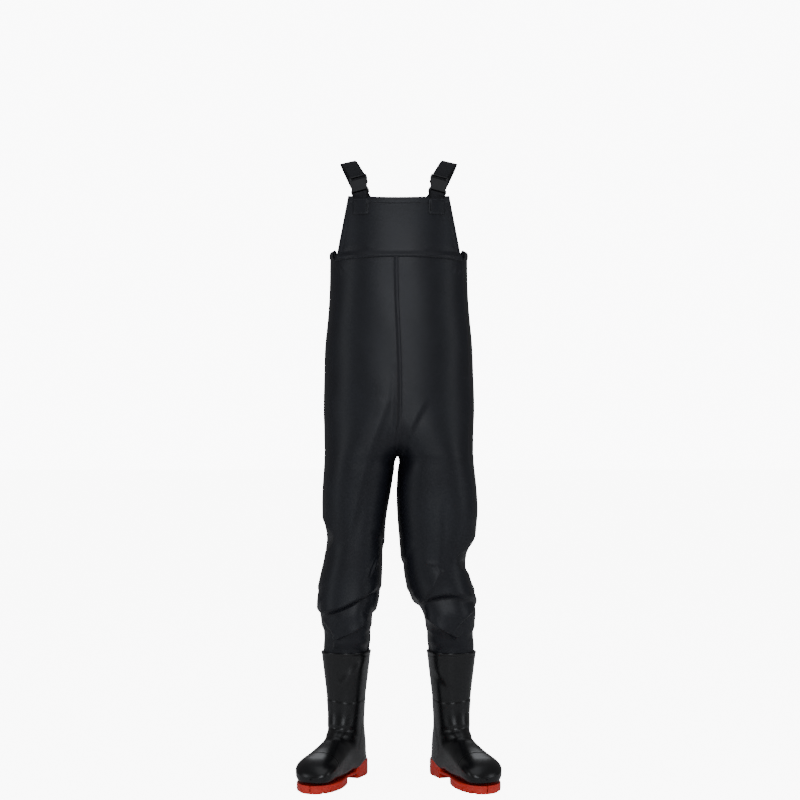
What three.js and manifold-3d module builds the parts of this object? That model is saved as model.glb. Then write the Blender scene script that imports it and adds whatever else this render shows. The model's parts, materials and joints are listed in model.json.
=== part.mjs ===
// Chest waders: a hollow coated-cloth suit with a bib, buckled shoulder straps and moulded boots.
// Millimetres, +Z up, the front faces -Y and the wearer's left-hand side is +X.
// The garment stands in the shape it has when it is worn.

import * as THREE from "three";
import { mergeVertices } from "three/addons/utils/BufferGeometryUtils.js";
import Module from "manifold-3d";

const wasm = await Module();
wasm.setup();

// ---------------------------------------------------------------- driving dimensions

const clearance = 0.3; // between pieces that touch
const cloth = 3; // modelled thickness of the coated cloth
const tape = 1.2; // thickness of seam tapes and weld bands
const bootRim = 303; // height of the boot's top edge
const legHeight = 463; // from the boot's rim to the fork
const torsoHeight = 470; // from the fork to the seam between trousers and bib
const bibHeight = 146;
const bibTopHalfWidth = 119;
const bibSeamHalfWidth = 147;
const hipHalfWidth = 180;
const legTuck = 36; // length of leg inside the boot
const ankleOffset = 126; // from the middle to each ankle
const toeOut = 23; // degrees that each foot points outwards
const bootWall = 3;
const soleHalfWidth = 54; // at the ball of the foot
const soleLength = 291;
const heelHeight = 38;
const webWidth = 35;
const web = 1.4; // thickness of the webbing
const buckleRail = 3.5; // the buckle's width beyond each edge of the webbing
const buckleThickness = 10.4;
const centreTapeHalfWidth = 8;
const inseamTapeHalfWidth = 6;
const casingHeight = 20;
const casingThickness = 8;
const casingWall = 1.6;
const elasticHeight = 13;
const patchMargin = 1; // of the stitched patch beyond each edge of the webbing
const armPressRoom = 0.5; // between a clip arm and the throat of the socket

const crotch = bootRim + legHeight; // height of the fork
const chestSeam = crotch + torsoHeight;
const bibTop = chestSeam + bibHeight;
const buckleWidth = webWidth + 2 * buckleRail;
const patchSide = webWidth + 2 * patchMargin;

// ---------------------------------------------------------------- shared shape helpers

const point = (x, y, z) => new THREE.Vector3(x, y, z);
const power = (value, exponent) => Math.sign(value) * Math.abs(value) ** exponent;

function material(colour, roughness) {
  return new THREE.MeshStandardMaterial({ color: colour, roughness, metalness: 0, side: THREE.DoubleSide });
}

// Faces turned outwards, whatever way the points were listed.
function facingOut(geometry) {
  const position = geometry.attributes.position;
  const index = geometry.index.array;
  const corner = [point(0, 0, 0), point(0, 0, 0), point(0, 0, 0)];
  let volume = 0;
  for (let i = 0; i < index.length; i += 3) {
    corner.forEach((vertex, k) => vertex.fromBufferAttribute(position, index[i + k]));
    volume += corner[0].dot(corner[1].clone().cross(corner[2]));
  }
  if (volume < 0) {
    index.reverse();
  }
  geometry.computeVertexNormals();
  return geometry;
}

function indexed(points, index) {
  const geometry = new THREE.BufferGeometry().setFromPoints(points);
  geometry.setIndex(index);
  return facingOut(geometry);
}

// A closed sheet between two matching grids of points, each a list of rows.
function sheet(outer, inner) {
  const rows = outer.length;
  const columns = outer[0].length;
  const at = (side, row, column) => (side * rows + row) * columns + column;
  const index = [];
  const quad = (a, b, c, d) => index.push(a, b, c, a, c, d);
  for (let row = 0; row < rows - 1; row += 1) {
    for (let column = 0; column < columns - 1; column += 1) {
      quad(at(0, row, column), at(0, row, column + 1), at(0, row + 1, column + 1), at(0, row + 1, column));
      quad(at(1, row, column), at(1, row + 1, column), at(1, row + 1, column + 1), at(1, row, column + 1));
    }
  }
  const lastRow = rows - 1;
  const lastColumn = columns - 1;
  for (let column = 0; column < lastColumn; column += 1) {
    quad(at(0, 0, column + 1), at(0, 0, column), at(1, 0, column), at(1, 0, column + 1));
    quad(at(0, lastRow, column), at(0, lastRow, column + 1), at(1, lastRow, column + 1), at(1, lastRow, column));
  }
  for (let row = 0; row < lastRow; row += 1) {
    quad(at(0, row, 0), at(0, row + 1, 0), at(1, row + 1, 0), at(1, row, 0));
    quad(at(0, row + 1, lastColumn), at(0, row, lastColumn), at(1, row, lastColumn), at(1, row + 1, lastColumn));
  }
  return indexed([...outer.flat(), ...inner.flat()], index);
}

// The grid moved along its own normals; outward is the way its middle faces.
function moved(grid, distance, outward) {
  const clamp = (value, last) => Math.min(Math.max(value, 0), last);
  const lastRow = grid.length - 1;
  const lastColumn = grid[0].length - 1;
  const normalAt = (row, column) => {
    const along = grid[row][clamp(column + 1, lastColumn)].clone().sub(grid[row][clamp(column - 1, lastColumn)]);
    const down = grid[clamp(row + 1, lastRow)][column].clone().sub(grid[clamp(row - 1, lastRow)][column]);
    return along.cross(down).normalize();
  };
  const middle = normalAt(Math.round(lastRow / 2), Math.round(lastColumn / 2));
  const way = Math.sign(middle.dot(outward)) * distance;
  return grid.map((row, i) => row.map((vertex, k) => vertex.clone().addScaledVector(normalAt(i, k), way)));
}

// A layer of cloth on a surface, from one depth under it to another; a negative depth stands proud.
function layer(grid, from, to, outward) {
  return sheet(moved(grid, -from, outward), moved(grid, -to, outward));
}

// A closed solid through rings of points, each ring with the same number of points.
function loft(rings) {
  const count = rings[0].length;
  const middleOf = (ring) => ring.reduce((sum, vertex) => sum.add(vertex), point(0, 0, 0)).divideScalar(count);
  const points = [...rings.flat(), middleOf(rings[0]), middleOf(rings.at(-1))];
  const lastRing = (rings.length - 1) * count;
  const index = [];
  for (let k = 0; k < count; k += 1) {
    const next = (k + 1) % count;
    for (let start = 0; start < lastRing; start += count) {
      index.push(start + k, start + next, start + count + next);
      index.push(start + k, start + count + next, start + count + k);
    }
    index.push(points.length - 2, next, k);
    index.push(points.length - 1, lastRing + k, lastRing + next);
  }
  return indexed(points, index);
}

// A flat band of webbing along a curve. Each stop is [centre, across], and across sets its width direction.
function band(stops, width, thickness, steps) {
  const curve = new THREE.CatmullRomCurve3(stops.map(([centre]) => centre));
  const last = stops.length - 1;
  const outer = [];
  const inner = [];
  for (let i = 0; i <= steps; i += 1) {
    const place = (i / steps) * last;
    const from = Math.min(Math.floor(place), last - 1);
    const across = stops[from][1].clone().lerp(stops[from + 1][1], place - from).normalize();
    const centre = curve.getPoint(i / steps);
    const normal = across.clone().cross(curve.getTangent(i / steps)).normalize();
    const edges = [-0.5, 0.5].map((share) => centre.clone().addScaledVector(across, share * width));
    outer.push(edges.map((edge) => edge.clone().addScaledVector(normal, thickness / 2)));
    inner.push(edges.map((edge) => edge.clone().addScaledVector(normal, -thickness / 2)));
  }
  return sheet(outer, inner);
}

function along(shape, points, steps) {
  const extrudePath = new THREE.CatmullRomCurve3(points);
  return new THREE.ExtrudeGeometry(shape, { extrudePath, steps, curveSegments: 6 });
}

function rectangle(width, height) {
  const shape = new THREE.Shape();
  shape.moveTo(-width / 2, -height / 2);
  shape.lineTo(width / 2, -height / 2);
  shape.lineTo(width / 2, height / 2);
  shape.lineTo(-width / 2, height / 2);
  return shape;
}

function solidOf(geometry) {
  const bare = geometry.clone();
  bare.deleteAttribute("normal");
  bare.deleteAttribute("uv");
  const merged = mergeVertices(bare, 1e-4);
  const triVerts = new Uint32Array(merged.index.array);
  return new wasm.Manifold(
    new wasm.Mesh({ numProp: 3, vertProperties: merged.attributes.position.array, triVerts }),
  );
}

function geometryOf(solid) {
  const { vertProperties, triVerts } = solid.getMesh();
  const geometry = new THREE.BufferGeometry();
  geometry.setAttribute("position", new THREE.BufferAttribute(vertProperties, 3));
  geometry.setIndex(new THREE.BufferAttribute(triVerts, 1));
  geometry.computeVertexNormals();
  return geometry;
}

// A box from its lowest to its highest corner.
function block(low, high) {
  const size = high.map((value, axis) => value - low[axis]);
  const centre = high.map((value, axis) => (value + low[axis]) / 2);
  return solidOf(new THREE.BoxGeometry(...size).translate(...centre));
}

function mesh(name, geometry, finish) {
  const made = new THREE.Mesh(geometry, finish);
  made.name = name;
  return made;
}

// ---------------------------------------------------------------- body of the suit

// The pattern is drawn for a torso and a leg of these heights, and stretches with them.
const patternTorso = 470;
const patternLeg = 463;
const onTorso = (rise) => crotch + (rise * torsoHeight) / patternTorso; // above the fork
const onLeg = (rise) => bootRim + (rise * legHeight) / patternLeg; // above the boot

// Sections of the suit from the bib down: height, outer side, inner side, front, back.
// The inner side lies past the middle where the two halves meet, so the middle plane cuts it there.
const sections = [
  [bibTop, 150, -150, -108, 108],
  [bibTop - 72, 158, -158, -118, 116],
  [chestSeam, 163.5, -163.5, -126, 122],
  [onTorso(419), 165, -165, -128, 123],
  [onTorso(344), 169, -169, -131, 125],
  [onTorso(257), 177, -177, -132, 129],
  [onTorso(194), 179, -179, -132, 135],
  [onTorso(138), hipHalfWidth, -hipHalfWidth, -132, 138],
  [onTorso(104), hipHalfWidth, -150, -131, 138],
  [onTorso(74), hipHalfWidth - 1, -105, -130, 137],
  [onTorso(43), hipHalfWidth - 1, -60, -127, 134],
  [crotch + 19, hipHalfWidth - 1, -22, -124, 130],
  [crotch + 9, hipHalfWidth - 1, -8, -123, 128],
  [crotch + 3, hipHalfWidth, -1.5, -122, 126],
  [crotch - 3, hipHalfWidth, 3, -121, 124],
  [onLeg(434), hipHalfWidth + 2, 5, -118, 118],
  [onLeg(387), hipHalfWidth + 6, 8, -112, 110],
  [onLeg(327), hipHalfWidth + 7, 14, -107, 102],
  [onLeg(268), hipHalfWidth - 3, 20, -102, 96],
  [onLeg(227), hipHalfWidth - 9, 24, -98, 93],
  [onLeg(173), hipHalfWidth + 2, 30, -92, 92],
  [onLeg(125), hipHalfWidth + 10, 42, -84, 90],
  [onLeg(93), hipHalfWidth + 10, 59, -78, 88],
  [onLeg(67), hipHalfWidth + 5, 66, -74, 82],
];
const squareness = 2.4; // 2 is an ellipse, and more is squarer
const bootCentre = [ankleOffset, 6];
const shaftHalfWidth = 56; // of the boot's rim
const shaftHalfDepth = 62;
const shaftSquareness = 2.3;
const shaftTaper = 1 / 9; // how fast the shaft narrows below the rim
const bandInset = bootWall + clearance; // from the boot's outside to the weld band
const legInset = bandInset + tape + 2 * clearance; // and to the leg inside it
const tucked = (height) => [
  height,
  ankleOffset + shaftHalfWidth,
  ankleOffset - shaftHalfWidth,
  bootCentre[1] - shaftHalfDepth,
  bootCentre[1] + shaftHalfDepth,
];
sections.push([onLeg(27), hipHalfWidth - 1, 69, -66, 74]);
sections.push(tucked(bootRim + 4));
sections.push(tucked(bootRim - legTuck));

const heights = sections.map(([height]) => height).reverse();
const values = sections.map(([, ...sizes]) => sizes).reverse().flat();
const profile = new THREE.CubicInterpolant(heights, values, 4);

function sectionAt(height) {
  const [outer, inner, front, back] = profile.evaluate(height);
  return {
    height,
    middle: (outer + inner) / 2,
    reach: (outer - inner) / 2,
    centre: (front + back) / 2,
    depth: (back - front) / 2,
  };
}

// A point of a section: angle 0 is the outer side, a right angle is the front and pi the inner side.
function onSection(section, angle) {
  const x = section.middle + section.reach * power(Math.cos(angle), 2 / squareness);
  const y = section.centre - section.depth * power(Math.sin(angle), 2 / squareness);
  return point(x, y, section.height);
}

// The angle at which the cloth ends: at the middle plane, or at the inseam lower down.
function edgeAngle(section) {
  const overlap = (section.middle - clearance / 2) / section.reach;
  if (overlap < 1) {
    return Math.acos(-power(overlap, squareness / 2));
  }
  return Math.PI - Math.asin((clearance / 2 / section.depth) ** (squareness / 2));
}

// Inside the boot the leg keeps an even distance from the shaft, which is turned with the foot.
function insideShaft(vertex) {
  const away = new THREE.Vector2(vertex.x - bootCentre[0], vertex.y - bootCentre[1]);
  const turned = away.angle() - THREE.MathUtils.degToRad(toeOut);
  const inset = legInset + Math.max(bootRim - vertex.z, 0) * shaftTaper;
  const share =
    Math.abs(Math.cos(turned) / (shaftHalfWidth - inset)) ** shaftSquareness +
    Math.abs(Math.sin(turned) / (shaftHalfDepth - inset)) ** shaftSquareness;
  away.setLength(share ** (-1 / shaftSquareness));
  return point(bootCentre[0] + away.x, bootCentre[1] + away.y, vertex.z);
}

const columns = 26;
const halfGrid = sections
  .filter(([height]) => height <= chestSeam)
  .map(([height]) => {
    const section = sectionAt(height);
    const edge = edgeAngle(section);
    const row = Array.from({ length: columns + 1 }, (_, k) => onSection(section, edge * (1 - (2 * k) / columns)));
    return height < bootRim + 5 ? row.map(insideShaft) : row;
  });
const outwards = point(1, 0, 0);
const halfPanel = layer(halfGrid, 0, cloth, outwards);

// The tape that closes the centre seam inside, down the front, round the fork and up the back.
function centreSeamTape() {
  const inset = cloth + 2 * clearance;
  const inside = moved(halfGrid, -inset, outwards);
  const seam = inside.filter((row, i) => halfGrid[i][0].z > crotch + 5);
  const fork = point(0, 0, crotch + 2 * inset);
  const path = [...seam.map((row) => row[0]), fork, ...seam.map((row) => row[columns]).reverse()];
  path[0] = path[0].clone().setZ(chestSeam - casingHeight);
  path[path.length - 1] = path.at(-1).clone().setZ(chestSeam - casingHeight);
  const strip = path.map(({ y, z }) => [point(-centreTapeHalfWidth, y, z), point(centreTapeHalfWidth, y, z)]);
  return layer(strip, 0, tape, point(0, 0, -1));
}

// The tape inside each inseam, from the fork to the boot.
function inseamTape() {
  const inset = cloth + 3.3 * clearance;
  const beside = (edge, next) => edge.clone().add(next.clone().sub(edge).setLength(inseamTapeHalfWidth));
  const strip = moved(halfGrid, -inset, outwards)
    .filter((row, i) => halfGrid[i][0].z < crotch - 6)
    .map((row) => {
      const seam = row[0].clone().lerp(row[columns], 0.5);
      return [beside(row[0], row[1]), seam, beside(row[columns], row[columns - 1])];
    });
  return layer(strip, 0, tape, point(-1, 0, 0));
}

// ---------------------------------------------------------------- bib

const frontwards = point(0, -1, 0);

function bibPoint(x, height) {
  const section = sectionAt(height);
  const share = Math.abs(x / section.reach) ** squareness;
  return point(x, section.centre - section.depth * (1 - share) ** (1 / squareness), height);
}

// A rectangular grid on the bib between two heights; widthAt gives its half width at a height.
function bibGrid(bottom, top, widthAt, rows, across, centre = 0) {
  return Array.from({ length: rows + 1 }, (_, i) => {
    const height = top + ((bottom - top) * i) / rows;
    const half = widthAt(height);
    return Array.from({ length: across + 1 }, (_, k) => bibPoint(centre + half * ((2 * k) / across - 1), height));
  });
}

const bibHalfWidth = (height) =>
  THREE.MathUtils.mapLinear(height, chestSeam, bibTop, bibSeamHalfWidth, bibTopHalfWidth);
const bibBottom = chestSeam + clearance;
const bibColumns = 18;
const bibPanel = layer(bibGrid(bibBottom, bibTop, bibHalfWidth, 8, bibColumns), 0, cloth, frontwards);
const hemDepth = cloth + 2 * clearance;
const hemHeight = 14;
const hemShort = 0.5; // how far each end stops from the bib's side
const chestTapeHalfHeight = 9;
const chestTapeShort = 18;
const bibHem = layer(
  bibGrid(bibTop - hemHeight, bibTop, (height) => bibHalfWidth(height) - hemShort, 1, bibColumns),
  hemDepth,
  hemDepth + tape,
  frontwards,
);
const chestTape = layer(
  bibGrid(
    chestSeam - chestTapeHalfHeight,
    chestSeam + chestTapeHalfHeight,
    () => bibSeamHalfWidth - chestTapeShort,
    2,
    bibColumns,
  ),
  hemDepth + clearance,
  hemDepth + clearance + tape,
  frontwards,
);

// ---------------------------------------------------------------- side casings with their elastic

const casingBase = sectionAt(chestSeam);
const casingFront = 23; // degrees round the section, forwards from the outer side
const casingBack = 88.5; // and backwards from it, to just short of the middle
const casingSpans = 11;
const casingPath = Array.from({ length: casingSpans + 1 }, (_, k) => {
  const angle = THREE.MathUtils.degToRad(casingFront - (k * (casingFront + casingBack)) / casingSpans);
  const rim = onSection(casingBase, angle);
  const inward = point(rim.x, rim.y, 0).normalize().multiplyScalar(cloth / 2);
  return rim.sub(inward).setZ(chestSeam + clearance + casingHeight / 2);
});

function casing() {
  const shape = new THREE.Shape();
  shape.absellipse(0, 0, casingHeight / 2, casingThickness / 2, 0, Math.PI * 2, false);
  const bore = new THREE.Path();
  bore.absellipse(0, 0, casingHeight / 2 - casingWall, casingThickness / 2 - casingWall, 0, Math.PI * 2, true);
  shape.holes.push(bore);
  return along(shape, casingPath, 16);
}

function casingElastic() {
  return along(rectangle(elasticHeight, casingThickness - 2 * casingWall - 10 * clearance), casingPath, 16);
}

// ---------------------------------------------------------------- buckle frame

// The clip leaves its socket along the strap, and the strap swings about the pivot at the back,
// so the way in is square to the line from the pivot to the middle of the clip's prongs.
const buckleMiddle = point(93, -86, bibTop + 28);
const strapPivot = point(28, 122, chestSeam + 75);
const toPivot = buckleMiddle.clone().sub(strapPivot);
const wayOut = point(0.13, 0.46, 0.88).projectOnPlane(toPivot.clone().normalize()).normalize();
const buckleFacing = toPivot.clone().normalize();
const buckleAcross = wayOut.clone().cross(buckleFacing).normalize();
const buckleBasis = new THREE.Matrix4()
  .makeBasis(buckleAcross, wayOut, buckleFacing)
  .setPosition(buckleMiddle);
const inBuckle = (across, height, depth) => point(across, height, depth).applyMatrix4(buckleBasis);

const socketTop = 12; // heights in the buckle, from the middle of the prongs
const socketBottom = -25;
const throatBottom = -14;
const windowBottom = -11;
const windowTop = 0;
const prongEnd = -10;
const throatWall = 5; // of the socket, beside the throat
const throatHalfWidth = buckleWidth / 2 - throatWall;
const throatHalfDepth = 3.1;
const flangeTop = 23.3;
const flangeBottom = socketTop + clearance;
const flangeThickness = 9;
const slotBottom = 15.8; // of the slot that the strap goes through
const slotTop = 20.8;
const topBarBack = 0.8; // depth at which the top bar starts, in front of the webbing
const baseBarFront = 1.9; // depth at which the base bar ends, behind the webbing
const tongueHalfWidth = 4;
const tongueBack = -2.3;
const armHalfWidth = 2.6;
const armPlace = throatHalfWidth - armHalfWidth - 2 * clearance; // from the middle to each arm

function roundedPlate(halfWidth, bottom, top, radius, thickness, waist = 0) {
  const shape = new THREE.Shape();
  const waistLow = -12;
  const waistHigh = 1;
  shape.moveTo(-halfWidth + radius, bottom);
  shape.lineTo(halfWidth - radius, bottom);
  shape.quadraticCurveTo(halfWidth, bottom, halfWidth, bottom + radius);
  if (waist) {
    shape.lineTo(halfWidth, waistLow - waist);
    shape.quadraticCurveTo(halfWidth - waist, waistLow, halfWidth - waist, (waistLow + waistHigh) / 2);
    shape.quadraticCurveTo(halfWidth - waist, waistHigh, halfWidth, waistHigh + waist);
  }
  shape.lineTo(halfWidth, top - radius);
  shape.quadraticCurveTo(halfWidth, top, halfWidth - radius, top);
  shape.lineTo(-halfWidth + radius, top);
  shape.quadraticCurveTo(-halfWidth, top, -halfWidth, top - radius);
  if (waist) {
    shape.lineTo(-halfWidth, waistHigh + waist);
    shape.quadraticCurveTo(-halfWidth + waist, waistHigh, -halfWidth + waist, (waistLow + waistHigh) / 2);
    shape.quadraticCurveTo(-halfWidth + waist, waistLow, -halfWidth, waistLow - waist);
  }
  shape.lineTo(-halfWidth, bottom + radius);
  shape.quadraticCurveTo(-halfWidth, bottom, -halfWidth + radius, bottom);
  const made = new THREE.ExtrudeGeometry(shape, { depth: thickness, bevelEnabled: false, curveSegments: 4 });
  return solidOf(made.translate(0, 0, -thickness / 2));
}

const slotHalfWidth = webWidth / 2 + 0.5;
const tabBar = 2.5; // height of the bar that the tab goes round
const tabBarHalfDepth = 1.9;
const tabSlotHeight = 4;
const socketSlot = [socketBottom + tabBar, socketBottom + tabBar + tabSlotHeight];
const socketWaist = 3.6; // how far the sides are cut in beside the windows

function buckleSocket() {
  const half = buckleWidth / 2;
  const throat = block(
    [-throatHalfWidth, throatBottom, -throatHalfDepth],
    [throatHalfWidth, socketTop + 1, throatHalfDepth],
  );
  const windows = block(
    [-half - 1, windowBottom, -throatHalfDepth],
    [half + 1, windowTop, throatHalfDepth],
  );
  const slot = block(
    [-slotHalfWidth, socketSlot[0], -buckleThickness],
    [slotHalfWidth, socketSlot[1], buckleThickness],
  );
  const tabRoom = (low, high) => block(
    [-slotHalfWidth, socketBottom - 1, low],
    [slotHalfWidth, socketSlot[1], high],
  );
  const body = roundedPlate(half, socketBottom, socketTop, 3, buckleThickness, socketWaist)
    .subtract(tabRoom(tabBarHalfDepth, buckleThickness))
    .subtract(tabRoom(-buckleThickness, -tabBarHalfDepth));
  return geometryOf(body.subtract(throat).subtract(windows).subtract(slot));
}

// The clip's flange holds the webbing between a top bar in front of it and a base bar behind it.
function buckleClip() {
  const half = buckleWidth / 2;
  const far = flangeThickness;
  const plate = roundedPlate(half, flangeBottom, flangeTop, 2, flangeThickness);
  const slot = block([-slotHalfWidth, slotBottom, -far], [slotHalfWidth, slotTop, far]);
  const behindTopBar = block([-slotHalfWidth, slotBottom, -far], [slotHalfWidth, flangeTop + 1, topBarBack]);
  const beforeBaseBar = block([-slotHalfWidth, flangeBottom - 1, baseBarFront], [slotHalfWidth, slotTop, far]);
  const tongue = block(
    [-tongueHalfWidth, prongEnd + 1, tongueBack],
    [tongueHalfWidth, flangeBottom + 1, baseBarFront],
  );
  return geometryOf(plate.subtract(slot).subtract(behindTopBar).subtract(beforeBaseBar).add(tongue));
}

// One spring arm of the clip: a straight prong with a round root that turns under the base bar.
function clipArm() {
  const depth = throatHalfDepth - armPressRoom;
  const root = flangeBottom - clearance - armHalfWidth;
  const shape = new THREE.Shape();
  shape.moveTo(-armHalfWidth, root);
  shape.lineTo(-armHalfWidth, prongEnd + 2);
  shape.quadraticCurveTo(-armHalfWidth, prongEnd, 0, prongEnd);
  shape.lineTo(armHalfWidth, prongEnd);
  shape.lineTo(armHalfWidth, root);
  shape.absarc(0, root, armHalfWidth, 0, Math.PI, false);
  return new THREE.ExtrudeGeometry(shape, { depth: 2 * depth, bevelEnabled: false, curveSegments: 5 }).translate(
    0,
    0,
    -depth,
  );
}

// ---------------------------------------------------------------- webbing

const leanAcross = point(0.87, 0.06, -0.49);
const pivotAcross = wayOut.clone().cross(buckleFacing).normalize();
const strapStops = [
  [inBuckle(0, 13.3, 4.2), buckleAcross],
  [inBuckle(0, 15.2, 3.35), buckleAcross],
  [inBuckle(0, 18.3, 0.9), buckleAcross],
  [inBuckle(0, 23.4, -2.6), buckleAcross],
  [point(102, -66.5, bibTop + 58), leanAcross],
  [point(114, -46, bibTop + 79), point(0.9, 0.08, -0.4)],
  [point(122, -20, bibTop + 89), point(0.96, 0.12, -0.22)],
  [point(123, 8, bibTop + 88), point(0.97, 0.18, -0.15)],
  [point(114, 46, bibTop + 68), point(0.93, 0.32, -0.15)],
  [point(93, 84, chestSeam + 175), point(0.9, 0.34, -0.25)],
  [point(62, 107, chestSeam + 128), point(0.9, 0.3, -0.3)],
  [strapPivot, pivotAcross],
];
const strapGeometry = band(strapStops, webWidth, web, 34);

// The tab holds the socket: up behind its lower bar, over it and down in front, under the stitched patch.
const patchMiddle = 89;
const patchTop = bibTop - 6;
const patchBottom = patchTop - patchSide;
const tabEnd = patchBottom + 6; // where both legs of the tab stop under the patch
const tabFlat = patchTop - 12; // up to here the legs lie flat on the bib
const tabRise = patchTop + 2; // and from here they lift towards the buckle
const firstLeg = clearance + web / 2;
const secondLeg = firstLeg + web + clearance;
const patchOut = secondLeg + web / 2 + clearance + tape / 2;
const bibAcross = bibPoint(patchMiddle + 10, patchTop).sub(bibPoint(patchMiddle - 10, patchTop)).normalize();
const bibUp = bibPoint(patchMiddle, patchTop).sub(bibPoint(patchMiddle, patchBottom)).normalize();
const bibOut = bibAcross.clone().cross(bibUp).normalize();
const onBib = (height, proud) => bibPoint(patchMiddle, height).addScaledVector(bibOut, proud);
const tabTurn = tabBarHalfDepth + clearance + web / 2;
const tabStops = [
  [onBib(tabEnd, firstLeg), bibAcross],
  [onBib(tabFlat, firstLeg), bibAcross],
  [onBib(tabRise, firstLeg), bibAcross],
  [inBuckle(0, socketBottom - 1.5, -tabTurn), buckleAcross],
  [inBuckle(0, socketBottom + tabBar, -tabTurn), buckleAcross],
  [inBuckle(0, socketBottom + tabBar + 2, 0), buckleAcross],
  [inBuckle(0, socketBottom + tabBar, tabTurn), buckleAcross],
  [inBuckle(0, socketBottom - 1.5, tabTurn), buckleAcross],
  [onBib(tabRise, secondLeg), bibAcross],
  [onBib(tabFlat, secondLeg), bibAcross],
  [onBib(tabEnd, secondLeg), bibAcross],
];
const tabGeometry = band(tabStops, webWidth, web, 50);
const patchStops = [patchTop, patchBottom].map((height) => [onBib(height, patchOut), bibAcross]);
const patchGeometry = band(patchStops, patchSide, tape, 3);

// ---------------------------------------------------------------- back patch, web and anchor

const rearwards = point(0, 1, 0);
const pivotReach = web / 2 + 2 * clearance; // from the pivot line to the patch behind which it lies
const pivotSlope = pivotAcross.z / pivotAcross.x;
const pivotSetback = pivotAcross.y / pivotAcross.x;
const patchSpread = 46;
const patchDrop = 42; // height of the patch below the straps' seam line
const backWebHalfWidth = 19;
const anchorHalfWidth = 24;
const anchorTop = chestSeam - 12;
const anchorBottom = chestSeam - 60;

function backPatchPoint(x, drop) {
  const aside = Math.abs(x) - strapPivot.x;
  const edge = strapPivot.z + aside * pivotSlope;
  return point(x, strapPivot.y + aside * pivotSetback - pivotReach, edge - drop);
}

function backPatch() {
  const drops = [0.2, 12, 26, patchDrop];
  const spreads = [1, 0.9, 0.62, 0.46];
  const grid = drops.map((drop, i) =>
    Array.from({ length: 9 }, (_, k) => backPatchPoint(patchSpread * spreads[i] * (k / 4 - 1), drop)),
  );
  return layer(grid, 0, web, rearwards);
}

const backCentre = (height) => {
  const section = sectionAt(height);
  return section.centre + section.depth;
};
const webOut = clearance + web / 2;
const across = point(1, 0, 0);
const casingOut = casingThickness / 2 - cloth / 2;
const patchFloor = backPatchPoint(0, patchDrop);
const webInPatch = patchFloor.y - web - clearance - web / 2;
// Inside the patch, down and out over the casings' ends, then back in to lie on the suit.
const backWebStops = [
  [point(0, webInPatch, patchFloor.z + 26), across],
  [point(0, webInPatch, patchFloor.z + 8), across],
  [point(0, webInPatch, patchFloor.z - 6), across],
  [point(0, backCentre(chestSeam) + casingOut + webOut + 0.6, chestSeam + 22), across],
  [point(0, backCentre(chestSeam) + casingOut + webOut + 1, chestSeam + 6), across],
  [point(0, backCentre(chestSeam - 14) + webOut + 0.4, chestSeam - 14), across],
  [point(0, backCentre(chestSeam - 52) + webOut + 0.2, chestSeam - 52), across],
];
const backWeb = band(backWebStops, 2 * backWebHalfWidth, web, 24);

function anchorPatch() {
  const out = webOut + web / 2 + 3 * clearance;
  const grid = [anchorTop, (anchorTop + anchorBottom) / 2, anchorBottom].map((height) =>
    [-1, -0.5, 0, 0.5, 1].map((share) => point(share * anchorHalfWidth, backCentre(height) + out, height)),
  );
  return layer(grid, -tape, 0, rearwards);
}

// ---------------------------------------------------------------- boots

// In front of the ankle the foot is drawn for a sole that reaches this far, and stretches with the sole.
const patternToe = 219;
const soleBack = 72; // how far the heel reaches behind the ankle
const toe = soleLength - soleBack;
const ankleFront = 13;
const onFoot = (forward) => ankleFront + ((forward - ankleFront) * (toe - ankleFront)) / (patternToe - ankleFront);

// Rings of the boot from the rim round the ankle to the toe, in the boot's own frame:
// forward, height, tilt in degrees, half width, reach to the front or top, reach to the back or sole, sideways.
const bootRings = [
  [0, bootRim, 0, shaftHalfWidth, shaftHalfDepth, shaftHalfDepth, 0],
  [0, 258, 0, 51, 57, 58, 0],
  [0, 208, 0, 45, 52, 53, 0],
  [1, 160, 0, 40, 50, 50, 0],
  [3, 126, 8, 38, 53, 53, 0],
  [2, 96, 24, 38, 62, 62, 0],
  [13, 67, 35, 38, 74, 73, 0],
  [onFoot(56), 61, 55, 39, 50, 47, 0],
  [onFoot(102), 54, 74, soleHalfWidth - 10, 36, 33, 1],
  [onFoot(140), 49, 90, soleHalfWidth - 5, 29, 28, 2],
  [onFoot(170), 45, 90, soleHalfWidth - 5, 26, 24, 0],
  [onFoot(192), 41, 90, soleHalfWidth - 11, 20, 20, -4],
  [onFoot(206), 37, 90, soleHalfWidth - 22, 13, 14, -7],
  [onFoot(213), 34, 90, soleHalfWidth - 36, 7, 9, -9],
];
const ringSegments = 24;
const past = 80; // wider than the boot, for blocks that cut right across it

function bootRing([forward, height, tilt, halfWidth, front, back, sideways], grow) {
  const angle = THREE.MathUtils.degToRad(tilt);
  const flat = 2.3 + tilt / 60;
  return Array.from({ length: ringSegments }, (_, k) => {
    const turn = (k / ringSegments) * Math.PI * 2;
    const x = (halfWidth + grow) * power(Math.cos(turn), 2 / 2.3);
    const ahead = Math.sin(turn) > 0;
    const reach = ahead ? front + grow : back + grow;
    const rise = reach * power(Math.sin(turn), 2 / (ahead ? 2.3 : flat));
    return point(sideways + x, -(forward + rise * Math.cos(angle)), height + rise * Math.sin(angle));
  });
}

// The boot as one solid, grown by a distance; a shrunk one is long at the top, to cut the opening.
function bootSolid(grow) {
  const rings = bootRings.map((ring) => bootRing(ring, grow));
  if (grow < 0) {
    rings.unshift(rings[0].map((vertex) => vertex.clone().setZ(bootRim + bootWall * 3)));
    rings.at(-1).forEach((vertex) => vertex.setY(vertex.y - grow));
  }
  return solidOf(loft(rings));
}

const bootOutside = bootSolid(0);
const bootUpper = geometryOf(bootOutside.subtract(bootSolid(-bootWall)));

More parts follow.
